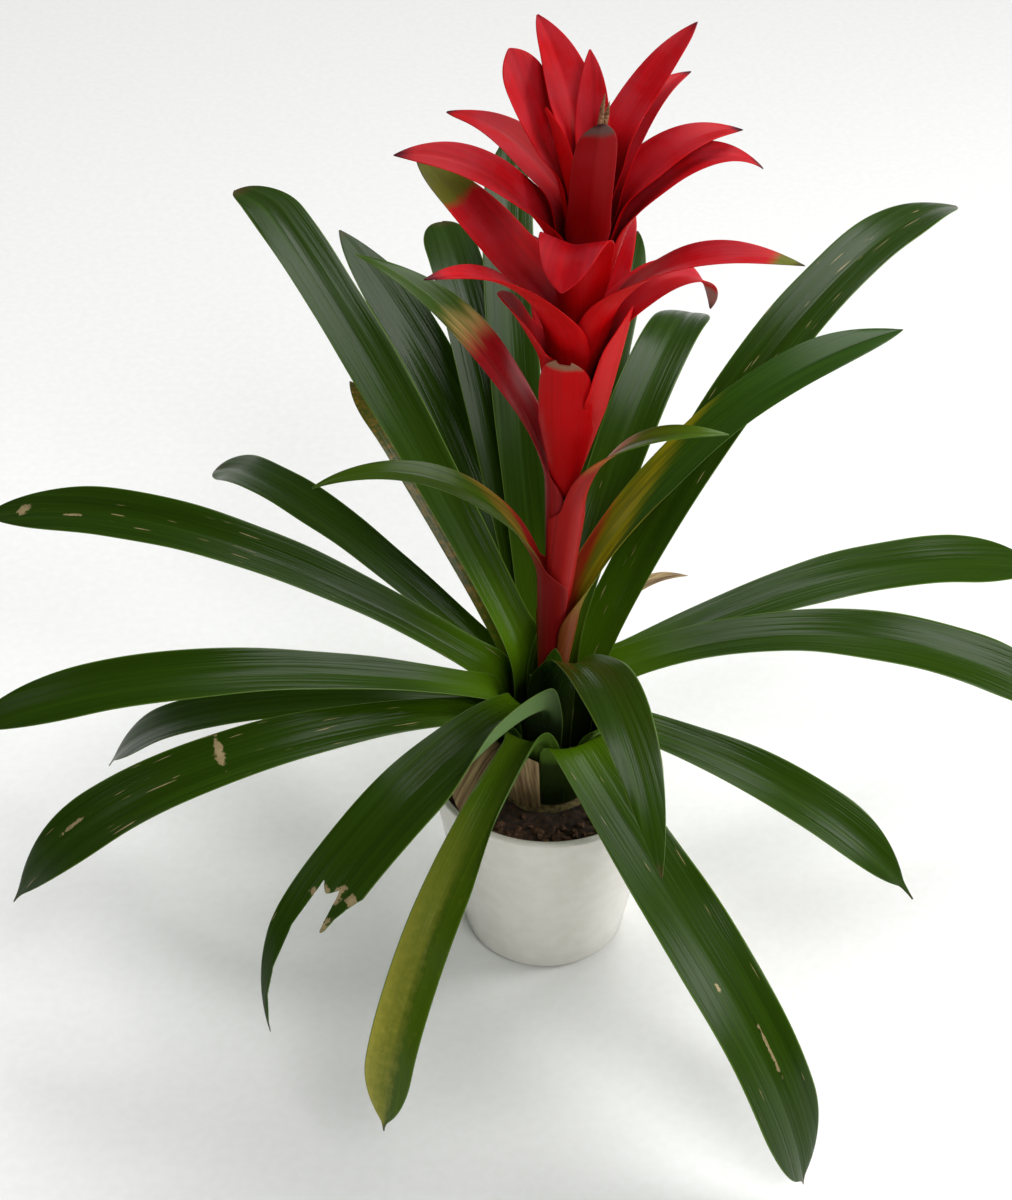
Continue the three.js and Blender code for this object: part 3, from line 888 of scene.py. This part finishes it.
    @staticmethod
    def station_at(stations: list[Station], t: float) -> Station:
        """Returns the midrib at t, between two of its stations."""
        low, high = 0, len(stations) - 1
        while high - low > 1:
            middle = (low + high) // 2
            if stations[middle].t <= t:
                low = middle
            else:
                high = middle
        before, after = stations[low], stations[high]
        share = min(max((t - before.t) / (after.t - before.t), 0.0), 1.0)
        return Station(
            t,
            before.centre.lerp(after.centre, share),
            before.upper.lerp(after.upper, share).normalized(),
            before.sideways.lerp(after.sideways, share).normalized(),
        )

    def row_marks(self) -> list[float]:
        """Returns t for each row of the grid."""
        sheath = [row / self.SHEATH_ROWS - 1 for row in range(self.SHEATH_ROWS)]
        shares = [row / self.blade_rows for row in range(self.blade_rows + 1)]
        return sheath + [1 - (1 - share) ** self.ROW_CROWDING for share in shares]

    def build(self, upper: bpy.types.Material, under: bpy.types.Material) -> bpy.types.Object:
        """Lays a grid along the blade and gives it a thickness.

        Args:
            upper: Finish of the upper face.
            under: Finish of the lower face.

        Returns:
            The finished piece.
        """
        marks = self.row_marks()
        stations = self.stations()
        bm = bmesh.new()
        rows = len(marks) - 1
        bmesh.ops.create_grid(bm, x_segments=self.columns, y_segments=rows, size=1.0)
        share_layer = bm.loops.layers.uv.new(UV_SHARE)
        real_layer = bm.loops.layers.uv.new(UV_REAL)
        flesh_layer = bm.verts.layers.deform.new()
        places: dict[bmesh.types.BMVert, tuple[float, float, float, float]] = {}
        lost: set[bmesh.types.BMVert] = set()
        for vert in bm.verts:
            row_t = marks[round((vert.co.y + 1) / 2 * rows)]
            across = -vert.co.x
            t = min(row_t, self.reach(across))
            if row_t > t:
                lost.add(vert)
            point, sideways_mm = self.place(stations, across, t)
            vert.co = point * MM
            along_mm = self.length * t if t > 0 else self.SHEATH_ON_MAP * t
            places[vert] = (across, t, sideways_mm, along_mm)
            thin = max(across * across, smoothstep(t, 0.9, 1.0))
            vert[flesh_layer][0] = lerp(1.0, self.MARGIN_FLESH, thin)
        gone = [face for face in bm.faces if all(vert in lost for vert in face.verts)]
        bmesh.ops.delete(bm, geom=gone, context="FACES")

        # Its side shifts the map of real sizes, so that no two blades carry the same streaks
        for face in bm.faces:
            face.smooth = True
            for loop in face.loops:
                across, t, sideways_mm, along_mm = places[loop.vert]
                loop[share_layer].uv = ((across + 1) / 2, (t + 1) / 2)
                loop[real_layer].uv = (sideways_mm * MM + self.side * 0.01, along_mm * MM)
        piece = make_piece(bm, f"{self.name}_skin", upper, under)
        piece.vertex_groups.new(name=FLESH_GROUP)
        wall = piece.modifiers.new("wall", "SOLIDIFY")
        wall.thickness = self.thickness * MM
        wall.offset = 0.0
        wall.vertex_group = FLESH_GROUP
        wall.material_offset = 1
        wall.material_offset_rim = 1
        rounding = piece.modifiers.new("rounding", "SUBSURF")
        rounding.levels = 1
        rounding.render_levels = 1
        return piece


@dataclass(frozen=True)
class RosetteLeaf(Blade):
    """A leaf of the rosette.

    Attributes:
        tier: 0 at the heart and 11 outside.
        skin: Finish of the upper face.
        outside: Finish of the lower face.
        slot: Its material slot, which is not used.
    """

    tier: int = 0
    skin: LeafFinish | DryFinish = DARK_LEAF
    outside: LeafFinish | DryFinish = PALE_UNDERSIDE
    slot: str = "leaf"

    # Radius and height of the innermost root, and how much further each tier lies outwards and down
    ROOT = (10.5, 126)
    ROOT_STEP = (1.65, 1.5)

    # Radius of the innermost throat, and how much further out each tier has it
    THROAT_RADIUS = 12
    THROAT_STEP = 2.3

    # Height of the throat in each tier, and the width that every leaf has there
    THROAT_HEIGHTS = (186, 180, 177, 173, 169, 166, 163, 160, 157, 155, 153, 151)
    THROAT_WIDTH = 34

    def root(self) -> tuple[float, float]:
        """Returns the radius and the height where the sheath starts."""
        (radius, height), (outwards, down) = self.ROOT, self.ROOT_STEP
        return radius + outwards * self.tier, height - down * self.tier

    def throat(self) -> tuple[float, float]:
        """Returns the radius and the height where the blade leaves the sheath."""
        return self.THROAT_RADIUS + self.THROAT_STEP * self.tier, self.THROAT_HEIGHTS[self.tier]

    def throat_arc(self) -> float:
        """Returns how far round the stem the sheath goes."""
        return self.THROAT_WIDTH / self.throat()[0]

    def width_at(self, t: float) -> float:
        """Returns the width of the strap at t."""
        return self.strap_width(self.THROAT_WIDTH, t)


@dataclass(frozen=True)
class TornLeaf(RosetteLeaf):
    """A rosette leaf that is torn off across, apart from a strip at its left that runs on to the tip.

    Attributes:
        tear: Places across the leaf and how much of the length is left there.
    """

    tear: tuple[tuple[float, float], ...] = (
        (-1.0, 1.0), (-0.62, 1.0), (-0.45, 0.86), (-0.31, 0.66), (-0.28, 0.7), (-0.1, 0.715), (0.1, 0.7),
        (0.22, 0.69), (0.3, 0.72), (0.38, 0.765), (0.5, 0.77), (0.6, 0.735), (0.75, 0.71), (1.0, 0.68),
    )

    def reach(self, across: float) -> float:
        """Returns how much of the length is left at a place across the leaf."""
        for (start, first), (end, second) in zip(self.tear, self.tear[1:]):
            if across <= end:
                return lerp(first, second, (across - start) / (end - start))
        return self.tear[-1][1]


@dataclass(frozen=True)
class ClaspingBlade(Blade):
    """A blade whose base clasps the flower stalk.

    Attributes:
        base: Height where the base starts.
        clasp: Length of the base.
        spread: Slope of the base.
        wrap: How far round the stalk it goes, in degrees.
    """

    base: float = 170
    clasp: float = 56
    spread: float = 86
    wrap: float = 220

    def root(self) -> tuple[float, float]:
        """Returns the radius and the height where the base starts."""
        return CLASPED_RADIUS, self.base

    def throat(self) -> tuple[float, float]:
        """Returns the radius and the height where the blade leaves its base."""
        slope = math.radians(self.spread)
        return CLASPED_RADIUS + self.clasp * math.cos(slope), self.base + self.clasp * math.sin(slope)

    def throat_arc(self) -> float:
        """Returns how far round the stalk the base goes."""
        return math.radians(self.wrap)

    def throat_width(self) -> float:
        """Returns the width of the base at its end."""
        return self.throat()[0] * self.throat_arc()


@dataclass(frozen=True)
class StalkLeaf(ClaspingBlade):
    """A leaf on the foot of the flower stalk.

    Attributes:
        skin: Finish of the upper face.
        outside: Finish of the lower face.
    """

    skin: StalkLeafFinish = field(kw_only=True)
    outside: StalkLeafFinish = field(kw_only=True)
    cup: float = field(default=50, kw_only=True)
    bend: float = field(default=20, kw_only=True)
    columns: int = field(default=20, kw_only=True)

    def width_at(self, t: float) -> float:
        """Returns the width of the strap at t."""
        return self.strap_width(self.throat_width(), t)


@dataclass(frozen=True)
class Bract(ClaspingBlade):
    """A scarlet bract of the spike.

    Attributes:
        taper: How long it stays broad. A high taper keeps it so to a blunt end.
        tip: How its end has aged.
    """

    base: float = 300
    clasp: float = 40
    spread: float = 76
    wrap: float = 125
    taper: float = 3
    tip: Tip = Tip.DARK

    cup: float = field(default=60, kw_only=True)
    bend: float = field(default=14, kw_only=True)
    blade_rows: int = field(default=34, kw_only=True)

    def width_at(self, t: float) -> float:
        """Returns the width: broadest just above the base and drawn out to a point."""
        body = lerp(self.throat_width(), self.width, smoothstep(t, 0, 0.3))
        return max(body * (1 - min(t, 1.0) ** self.taper) ** 0.85, 0.7)


@dataclass(frozen=True)
class RaggedBract(Bract):
    """The lowest front bract, whose broad dried rim is notched."""

    def reach(self, across: float) -> float:
        """Returns how much of the length is left: the rim dips and is ragged."""
        dip = 0.05 * (1 - across * across)
        teeth = 0.035 * abs(math.sin(across * 9 + 1)) + 0.02 * abs(math.sin(across * 23))
        return 1 - dip - teeth


def finish_piece(piece: bpy.types.Object, slot: str, *nodes: str) -> None:
    """Ties a piece to the plant, hides the solids that it stands for and logs them."""
    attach(piece, BODY)
    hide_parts(*nodes)
    LOG.info("%s stands for %s", piece.name, ", ".join(nodes))


@dataclass
class Rosette:
    """The rosette of strap leaves from outside in, then its torn leaf, its heart and its dead ones."""

    finishes: Finishes
    leaves: tuple[RosetteLeaf, ...] = (
        RosetteLeaf("leaf_left_under", 185, 4, -59, 288, -45, 26, roll=35, drip=0.03, tier=10),
        RosetteLeaf(
            "leaf_front_long", 289, 0, -80, 296, 36, 45, taper_from=0.82, point=0.62, drip=0.015, tier=10,
            skin=LONG_SCARRED_LEAF,
        ),
        RosetteLeaf("leaf_right_back", 34, 5, -29, 360, -5, 36, roll=-30, tier=10),
        RosetteLeaf(
            "leaf_left_short", 135, 12, -32, 342, -18, 28, roll=20, hook=20, taper_from=0.88, point=0.5,
            tier=9,
        ),
        RosetteLeaf(
            "leaf_front_yellow", 252, 12, -88, 263, -14, 28, taper_from=0.84, drip=0.02, curl=5, tier=9,
            skin=YELLOW_LEAF,
        ),
        RosetteLeaf(
            "leaf_right_front", 327, 8, -59, 218, 25, 33, roll=-25, taper_from=0.68, drip=0.05, tier=9
        ),
        RosetteLeaf(
            "leaf_left_front", 212, 24, -62, 323, -34, 34, roll=35, drip=0.02, tier=8, skin=CROSS_SCARRED_LEAF
        ),
        RosetteLeaf("leaf_back_left_short", 124, 31, -10, 258, -14, 18, tier=8, skin=WORN_LEAF),
        RosetteLeaf("leaf_right_low", 24, 13, -37, 332, -22, 38, 0.8, roll=-32, tier=8),
        RosetteLeaf("leaf_left_long", 158, 23, -27, 366, -6, 35, roll=25, tier=7, skin=END_SCARRED_LEAF),
        RosetteLeaf("leaf_back_right", 48, 55, -25, 440, 6, 37, tier=7, skin=SCARRED_LEAF),
        RosetteLeaf("leaf_left_level", 198, 26, -32, 314, -24, 33, roll=25, tier=6),
        RosetteLeaf("leaf_back_left_low", 103, 22, 12, 354, 20, 35, tier=6),
        RosetteLeaf("leaf_back_blunt", 104, 37, -5, 350, -4, 34, taper_from=0.88, point=0.5, tier=5),
        RosetteLeaf("leaf_back_tall", 101, 41, 3, 400, -13, 32, 1, tier=4),
        RosetteLeaf("leaf_back_left", 135, 48, 0, 368, -21, 34, hook=35, taper_from=0.9, point=0.5, tier=3),
        RosetteLeaf("leaf_back_middle", 80, 44, -6, 318, 0, 26, tier=2),
        RosetteLeaf(
            "leaf_back_right_inner", 67, 59, -29, 284, 6, 33, taper_from=0.86, point=0.55, tier=1,
            outside=SHADED_HEART_OUTSIDE,
        ),
        RosetteLeaf(
            "leaf_front_arched", 281, 55, -34, 250, 0, 34, taper_from=0.42, tier=1, outside=SHADED_HEART_OUTSIDE
        ),
        TornLeaf(
            "leaf_front_left_torn", 248, 37, -83, 286, -34, 41, curl=9, tier=5, blade_rows=110, columns=30,
            skin=TORN_RIM_LEAF, outside=SHADED_UNDERSIDE,
        ),
        RosetteLeaf(
            "leaf_heart", 272, 86, 84, 27, 0, 14, tier=0, taper_from=0.1, ripple=0.2,
            skin=FRESH_LEAF, outside=SHADED_HEART_OUTSIDE,
        ),
        RosetteLeaf(
            "withered_leaf", 66, 12, -32, 140, -22, 9, tier=9, thickness=0.8,
            skin=DRY_LEAF, outside=DRY_LEAF, slot="dry_leaf",
        ),
        RosetteLeaf(
            "dry_sheath", 236, -12, -62, 58, -10, 24, tier=11, thickness=0.8,
            skin=DRY_LEAF, outside=DRY_LEAF, slot="dry_leaf",
        ),
    )

    def build(self) -> None:
        """Makes every leaf."""
        for leaf in self.leaves:
            piece = leaf.build(self.finishes.get(leaf.skin), self.finishes.get(leaf.outside))
            finish_piece(piece, leaf.slot, leaf.name)


@dataclass
class FlowerStalk:
    """The stalk with its crown, and the leaves on its foot."""

    finishes: Finishes

    # Radius and height of each point of the crown and the stalk, in millimetres
    crown_profile: tuple[tuple[float, float], ...] = (
        (0, 84), (24, 84), (29, 92), (29, 107.9), (24, 112.4), (15, 120.8), (8.5, 126.6),
        (CLASPED_RADIUS, 145), (5, LEAN_START), (5, 474), (3, 477), (0, STALK_END),
    )
    leaves: tuple[StalkLeaf, ...] = (
        StalkLeaf(
            "stalk_leaf_right_long", 33, 63, 1, 241, -10, 32, 1, base=168, clasp=54, spread=84, wrap=230,
            skin=StalkLeafFinish(
                "yellow_footed_leaf", Face.UPPER, 0.44, 0.57, "#9a3016", "#8c860e", "#2c4c0a", -0.2
            ),
            outside=StalkLeafFinish(
                "yellow_footed_underside", Face.UNDER, 0.54, 0.66, "#7c3c18", "#8f8420", "#4f702a"
            ),
        ),
        StalkLeaf(
            "stalk_leaf_left", 192, 74, -38, 162, -24, 25, taper_from=0.4, base=186, clasp=60, wrap=220,
            skin=StalkLeafFinish(
                "red_footed_leaf", Face.UPPER, 0.68, 0.76, "#9c1618", "#8a6a20", "#3f5a0a", 0.22
            ),
            outside=StalkLeafFinish(
                "red_footed_underside", Face.UNDER, 0.6, 0.65, "#8c1414", "#8a6a2a", "#55702a"
            ),
        ),
        StalkLeaf(
            "stalk_leaf_right", 300, 82, -4, 122, 54, 23, taper_from=0.3, base=230, clasp=60, wrap=170,
            skin=StalkLeafFinish(
                "orange_banded_leaf", Face.UPPER, 0.7, 0.78, "#a81414", "#b8602a", "#4a6a14"
            ),
            outside=StalkLeafFinish(
                "orange_banded_underside", Face.UNDER, 0.7, 0.78, "#a81816", "#c0602e", "#557424"
            ),
        ),
        StalkLeaf(
            "stalk_leaf_upper_left", 160, 72, -2, 170, -16, 27, taper_from=0.35, base=252, clasp=54, wrap=205,
            skin=StalkLeafFinish(
                "tan_banded_leaf", Face.UPPER, 0.78, 0.815, "#941218", "#b39a5c", "#35500a"
            ),
            outside=StalkLeafFinish(
                "tan_banded_underside", Face.UNDER, 0.78, 0.815, "#9a1218", "#b39a5c", "#55742a"
            ),
        ),
    )

    def build(self) -> None:
        """Makes the stalk and its leaves."""
        bark = GrainFinish("fibrous_stem", "#7d7040", "#4a3a1c", 3.0, 0.8, 0.6)
        stalk = turned_piece("stem_skin", self.crown_profile, 32, self.finishes.get(bark))
        for vert in stalk.data.vertices:
            vert.co.x += LEAN_SLOPE * max(vert.co.z - LEAN_START * MM, 0)
        finish_piece(stalk, "stem", "stem")
        for leaf in self.leaves:
            piece = leaf.build(self.finishes.get(leaf.skin), self.finishes.get(leaf.outside))
            finish_piece(piece, "stalk_leaf", leaf.name)


@dataclass
class Spike:
    """The spike of scarlet bracts, with its spent flowers."""

    finishes: Finishes
    bracts: tuple[Bract, ...] = (
        RaggedBract(
            "bract_01", 252, 84, 76, 50, 0, 30, base=306, clasp=46, wrap=112, taper=6, cup=80, tip=Tip.RIMMED
        ),
        Bract(
            "bract_02", 342, 80, 84, 64, 0, 46, base=318, clasp=38, wrap=104, taper=5, cup=86, tip=Tip.FRESH
        ),
        Bract("bract_03", 106, 60, 0, 88, 0, 30, base=322),
        Bract("bract_04", 192, 66, 52, 52, 0, 38, base=338, clasp=44, taper=4, cup=50, tip=Tip.FRESH),
        Bract("bract_05", 70, 62, 8, 84, 0, 30, base=339, wrap=114),
        Bract("bract_06", 15, 82, -92, 88, 20, 33, base=349, tip=Tip.WITHERED),
        Bract("bract_07", 228, 65, 6, 116, -14, 32, base=356),
        Bract("bract_08", 168, 50, 30, 104, -26, 44, base=367, tip=Tip.GREEN),
        Bract("bract_09", 320, 72, -14, 116, 34, 32, 1, base=369, tip=Tip.GREEN_SPOT),
        Bract("bract_10", 256, 88, -56, 72, 4, 36, base=395, taper=5, tip=Tip.FRESH),
        Bract("bract_11", 96, 62, 12, 78, 0, 28, base=397),
        Bract("bract_12", 184, 62, -6, 98, -6, 35, roll=16, base=405),
        Bract("bract_13", 15, 68, -42, 89, 2, 32, base=409),
        Bract("bract_14", 133, 36, -11, 88, 8, 30, base=419),
        Bract("bract_15", 266, 78, 66, 70, 10, 21, base=421, wrap=84, taper=9, tip=Tip.CAPPED),
        Bract("bract_16", 26, 53, -15, 78, -2, 30, base=427, clasp=33),
        Bract("bract_17", 56, 62, -7, 82, -8, 21, base=437, clasp=29),
        Bract("bract_18", 205, 78, 66, 46, 0, 22, base=452, clasp=27, tip=Tip.FRESH),
        Bract("bract_19", 152, 56, 68, 72, 4, 33, roll=16, base=443, clasp=30, taper=8, tip=Tip.FRESH),
        Bract("bract_20", 54, 41, 26, 77, -8, 20, base=456, clasp=32, taper=4),
        Bract("bract_21", 118, 60, 40, 67, 12, 29, base=463, clasp=27, tip=Tip.FRESH),
        Bract("bract_22", 97, 76, 58, 50, 5, 18, base=471, clasp=16, spread=82, tip=Tip.FRESH),
    )

    # Each dried flower's side and tilt in degrees, its length and its radius
    flowers: tuple[tuple[float, float, float, float], ...] = (
        (350, 6, 46, 1.9), (20, 11, 41, 1.8), (200, 8, 24, 1.9), (300, 7, 30, 1.6),
    )

    def build(self) -> None:
        """Makes every bract and the spent flowers."""
        for bract in self.bracts:
            # The capped bract is painted a darker red on its outer face: painted shade from the bracts above
            # it
            outer_red = "#8c0609" if bract.tip is Tip.CAPPED else "#c40408"
            age = bract.tip.value
            inner = BractFinish(f"scarlet_inner_{age}", Face.UPPER, bract.tip, "#be0c16", "#4c0408")
            outer = BractFinish(f"scarlet_outer_{age}", Face.UNDER, bract.tip, outer_red, "#720406")
            piece = bract.build(self.finishes.get(inner), self.finishes.get(outer))
            finish_piece(piece, "bract", bract.name)
        self.build_flowers()

    def build_flowers(self) -> None:
        """Makes the dried flowers at the end of the stalk."""
        dry = GrainFinish("spent_flower_paper", "#a3825a", "#5c3a20", 1.2, 0.9, 0.4)
        foot = Vector((LEAN_SLOPE * (STALK_END - LEAN_START), 0, STALK_END + 1)) * MM
        bm = bmesh.new()
        for side, tilt, length, radius in self.flowers:
            profile = [(0.0, 0.0), (1.3, 1.0), (radius, length * 0.45), (1.0, length * 0.85), (0.0, length)]
            flower = bmesh.new()
            spin_profile(flower, profile, 10)
            turn = Euler((0, math.radians(tilt), math.radians(side))).to_matrix().to_4x4()
            bmesh.ops.transform(flower, matrix=Matrix.Translation(foot) @ turn, verts=flower.verts)
            for vert in flower.verts:
                vert.co += noise.noise_vector(vert.co * 300) * 0.0006
            shape = bpy.data.meshes.new("flower_shape")
            flower.to_mesh(shape)
            flower.free()
            bm.from_mesh(shape)
            bpy.data.meshes.remove(shape)
        close_and_turn_out(bm)
        piece = make_piece(bm, "spent_flowers_skin", self.finishes.get(dry))
        finish_piece(piece, "spent_flower", "spent_flowers")


@dataclass
class Pot:
    """A plain tapered pot in off-white glaze, filled with bark mix, in millimetres."""

    finishes: Finishes
    height: float = 118
    rim_radius: float = 66
    foot_radius: float = 47
    foot_rounding: float = 4
    wall: float = 4.5
    floor: float = 7
    sides: int = 128
    soil_top: float = 105
    soil_mound: float = 3
    crown_radius: float = 29
    crown_bottom: float = 84
    chips: int = 330

    def radius_at(self, height: float) -> float:
        """Returns the outside radius at a height."""
        return lerp(self.foot_radius, self.rim_radius, height / self.height)

    @staticmethod
    def rounded(centre: tuple[float, float], radius: float, degrees: range) -> list[tuple[float, float]]:
        """Returns points on a rounded edge of the profile, at the given turns from outwards."""
        turns = [math.radians(angle) for angle in degrees]
        return [(centre[0] + radius * math.cos(a), centre[1] + radius * math.sin(a)) for a in turns]

    def build(self) -> None:
        """Makes the pot and its filling."""
        glaze = GrainFinish("off_white_glaze", "#efece4", "#e9e5db", 9.0, 0.3, 0.03, coat=0.5)
        foot_centre = (self.foot_radius - self.foot_rounding, self.foot_rounding)
        foot = self.rounded(foot_centre, self.foot_rounding, range(-90, 0, 15))
        half_wall = self.wall / 2
        rim_centre = (self.rim_radius - half_wall, self.height - half_wall)
        rim = self.rounded(rim_centre, half_wall, range(0, 181, 15))
        inner = self.radius_at(self.floor) - self.wall
        well = ((inner - 2, self.floor + 2), (inner - 4, self.floor), (0, self.floor))
        profile = ((0, 0), *foot, *rim, *well)
        pot = turned_piece("pot_skin", profile, self.sides, self.finishes.get(glaze))
        finish_piece(pot, "pot_glaze", "pot")
        self.build_soil()

    def build_soil(self) -> None:
        """Makes the bark mix: a rough bed with loose chips on it."""
        peat = GrainFinish("damp_bark_mix", "#4a3422", "#1c120a", 4.0, 0.95, 1.5)
        outer = self.radius_at(self.soil_top) - self.wall - 1
        bottom = self.radius_at(self.floor) - self.wall - 5
        hole = self.crown_radius + 0.4
        steps = 9
        top = [
            (lerp(outer, hole, step / steps), self.soil_top + self.soil_mound * (step / steps) ** 0.6)
            for step in range(steps + 1)
        ]
        floor = self.floor + 0.4
        under_crown = self.crown_bottom - 0.4
        profile = ((0, floor), (bottom, floor), *top, (hole, under_crown), (0, under_crown))
        bed = turned_piece("soil_skin", profile, 96, self.finishes.get(peat))
        for vert in bed.data.vertices:
            radius = math.hypot(vert.co.x, vert.co.y)
            if vert.co.z > (self.soil_top - 5) * MM and radius < (outer - 1) * MM:
                vert.co.z += noise.noise(vert.co * 160) * 0.002 + noise.noise(vert.co * 420) * 0.0008
        finish_piece(bed, "soil", "soil")
        chips = self.build_chips(outer, hole)
        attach(chips, BODY)

    def build_chips(self, outer: float, hole: float) -> bpy.types.Object:
        """Scatters small broken chips of bark on the bed.

        Args:
            outer: Radius of the bed.
            hole: Radius that the crown takes.

        Returns:
            All the chips as one piece.
        """
        bark = GrainFinish("bark_chip", "#6b4a30", "#2e1c10", 1.5, 0.9, 0.5)
        dice = random.Random(8)
        bm = bmesh.new()
        for _ in range(self.chips):
            radius = lerp(hole + 3, outer - 3, math.sqrt(dice.random()))
            angle = dice.uniform(0, math.tau)
            size = Vector((dice.uniform(2.5, 6), dice.uniform(1.5, 3.5), dice.uniform(0.8, 1.8))) * MM
            height = self.soil_top + self.soil_mound * 0.6 + dice.uniform(-0.5, 1.5)
            place = Vector((radius * math.cos(angle), radius * math.sin(angle), height)) * MM
            turn = Euler((dice.uniform(-0.5, 0.5), dice.uniform(-0.5, 0.5), dice.uniform(0, math.tau)))
            shape = Matrix.LocRotScale(place, turn, size)
            made = bmesh.ops.create_icosphere(bm, subdivisions=1, radius=0.6, matrix=shape)
            for vert in made["verts"]:
                vert.co += noise.noise_vector(vert.co * 700) * 0.0007
        return make_piece(bm, "bark_chips", self.finishes.get(bark))


@dataclass
class Studio:
    """A pale floor, soft lights and a camera at the picture's angle, in metres and degrees."""

    finishes: Finishes
    camera_place: tuple[float, float, float] = (-0.0231, -0.9117, 0.9472)
    look_down: float = 38
    lens: float = 65.4

    def build(self) -> None:
        """Makes the floor, the lights and the camera."""
        self.build_floor()
        self.add_diffuser()
        self.add_softbox("front_right_softbox", (0.5, -1.25, 1.65), (0, 0, 0.3), 0.8, 14)
        self.add_softbox("right_softbox", (1.4, 0.1, 0.85), (0, 0, 0.2), 0.6, 11)
        self.add_softbox("left_softbox", (-1.5, -0.3, 1.2), (0, 0, 0.25), 0.6, 2)
        world = bpy.data.worlds.new("studio_air")
        world.use_nodes = True
        air = world.node_tree.nodes["Background"]
        air.inputs["Color"].default_value = linear("#eef0f2")
        air.inputs["Strength"].default_value = 0.12
        bpy.context.scene.world = world
        self.add_camera()
        bpy.context.scene.view_settings.view_transform = "Standard"

    def build_floor(self) -> None:
        """Makes the floor, just below the foot of the pot."""
        paper = GrainFinish("pale_floor_paper", "#fafaf9", "#f7f7f5", 6.0, 0.95, 0.0)
        bm = bmesh.new()
        bmesh.ops.create_grid(bm, x_segments=2, y_segments=2, size=4.0)
        floor = make_piece(bm, "floor", self.finishes.get(paper))
        floor.location.z = -0.5 * MM

    def add_diffuser(self) -> None:
        """Adds the wide soft light high behind the plant, which lays the sheen on the leaves."""
        lamp = bpy.data.lights.new("high_diffuser", "SUN")
        lamp.energy = 2.5
        lamp.angle = math.radians(42)
        holder = add_object("high_diffuser", lamp)
        holder.rotation_euler = (math.radians(-32), math.radians(16), 0)

    def add_camera(self) -> None:
        """Adds the camera, looking straight ahead and down."""
        camera_data = bpy.data.cameras.new("camera")
        camera_data.lens = self.lens
        camera_data.sensor_width = 36
        camera = add_object("camera", camera_data)
        camera.location = self.camera_place
        camera.rotation_euler = (math.radians(90 - self.look_down), 0, 0)
        bpy.context.scene.camera = camera

    @staticmethod
    def add_softbox(
        name: str,
        place: tuple[float, float, float],
        target: tuple[float, float, float],
        size: float,
        power: float,
    ) -> None:
        """Adds a square soft light.

        Args:
            name: The light's name.
            place: Where it hangs, in metres.
            target: The point that it faces.
            size: Length of its sides in metres.
            power: Its power in watts.
        """
        lamp = bpy.data.lights.new(name, "AREA")
        lamp.size = size
        lamp.energy = power
        holder = add_object(name, lamp)
        holder.location = place
        holder.rotation_euler = (Vector(target) - Vector(place)).to_track_quat("-Z", "Y").to_euler()


def main() -> None:
    """Builds the plant, its pot and the studio."""
    logging.basicConfig(level=logging.INFO, format="%(message)s")
    noise.seed_set(NOISE_SEED)
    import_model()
    finishes = Finishes()
    for builder in (Studio, Pot, FlowerStalk, Rosette, Spike):
        builder(finishes).build()
        LOG.info("%s built", builder.__name__)
    bpy.context.view_layer.update()


if __name__ == "__main__":
    main()
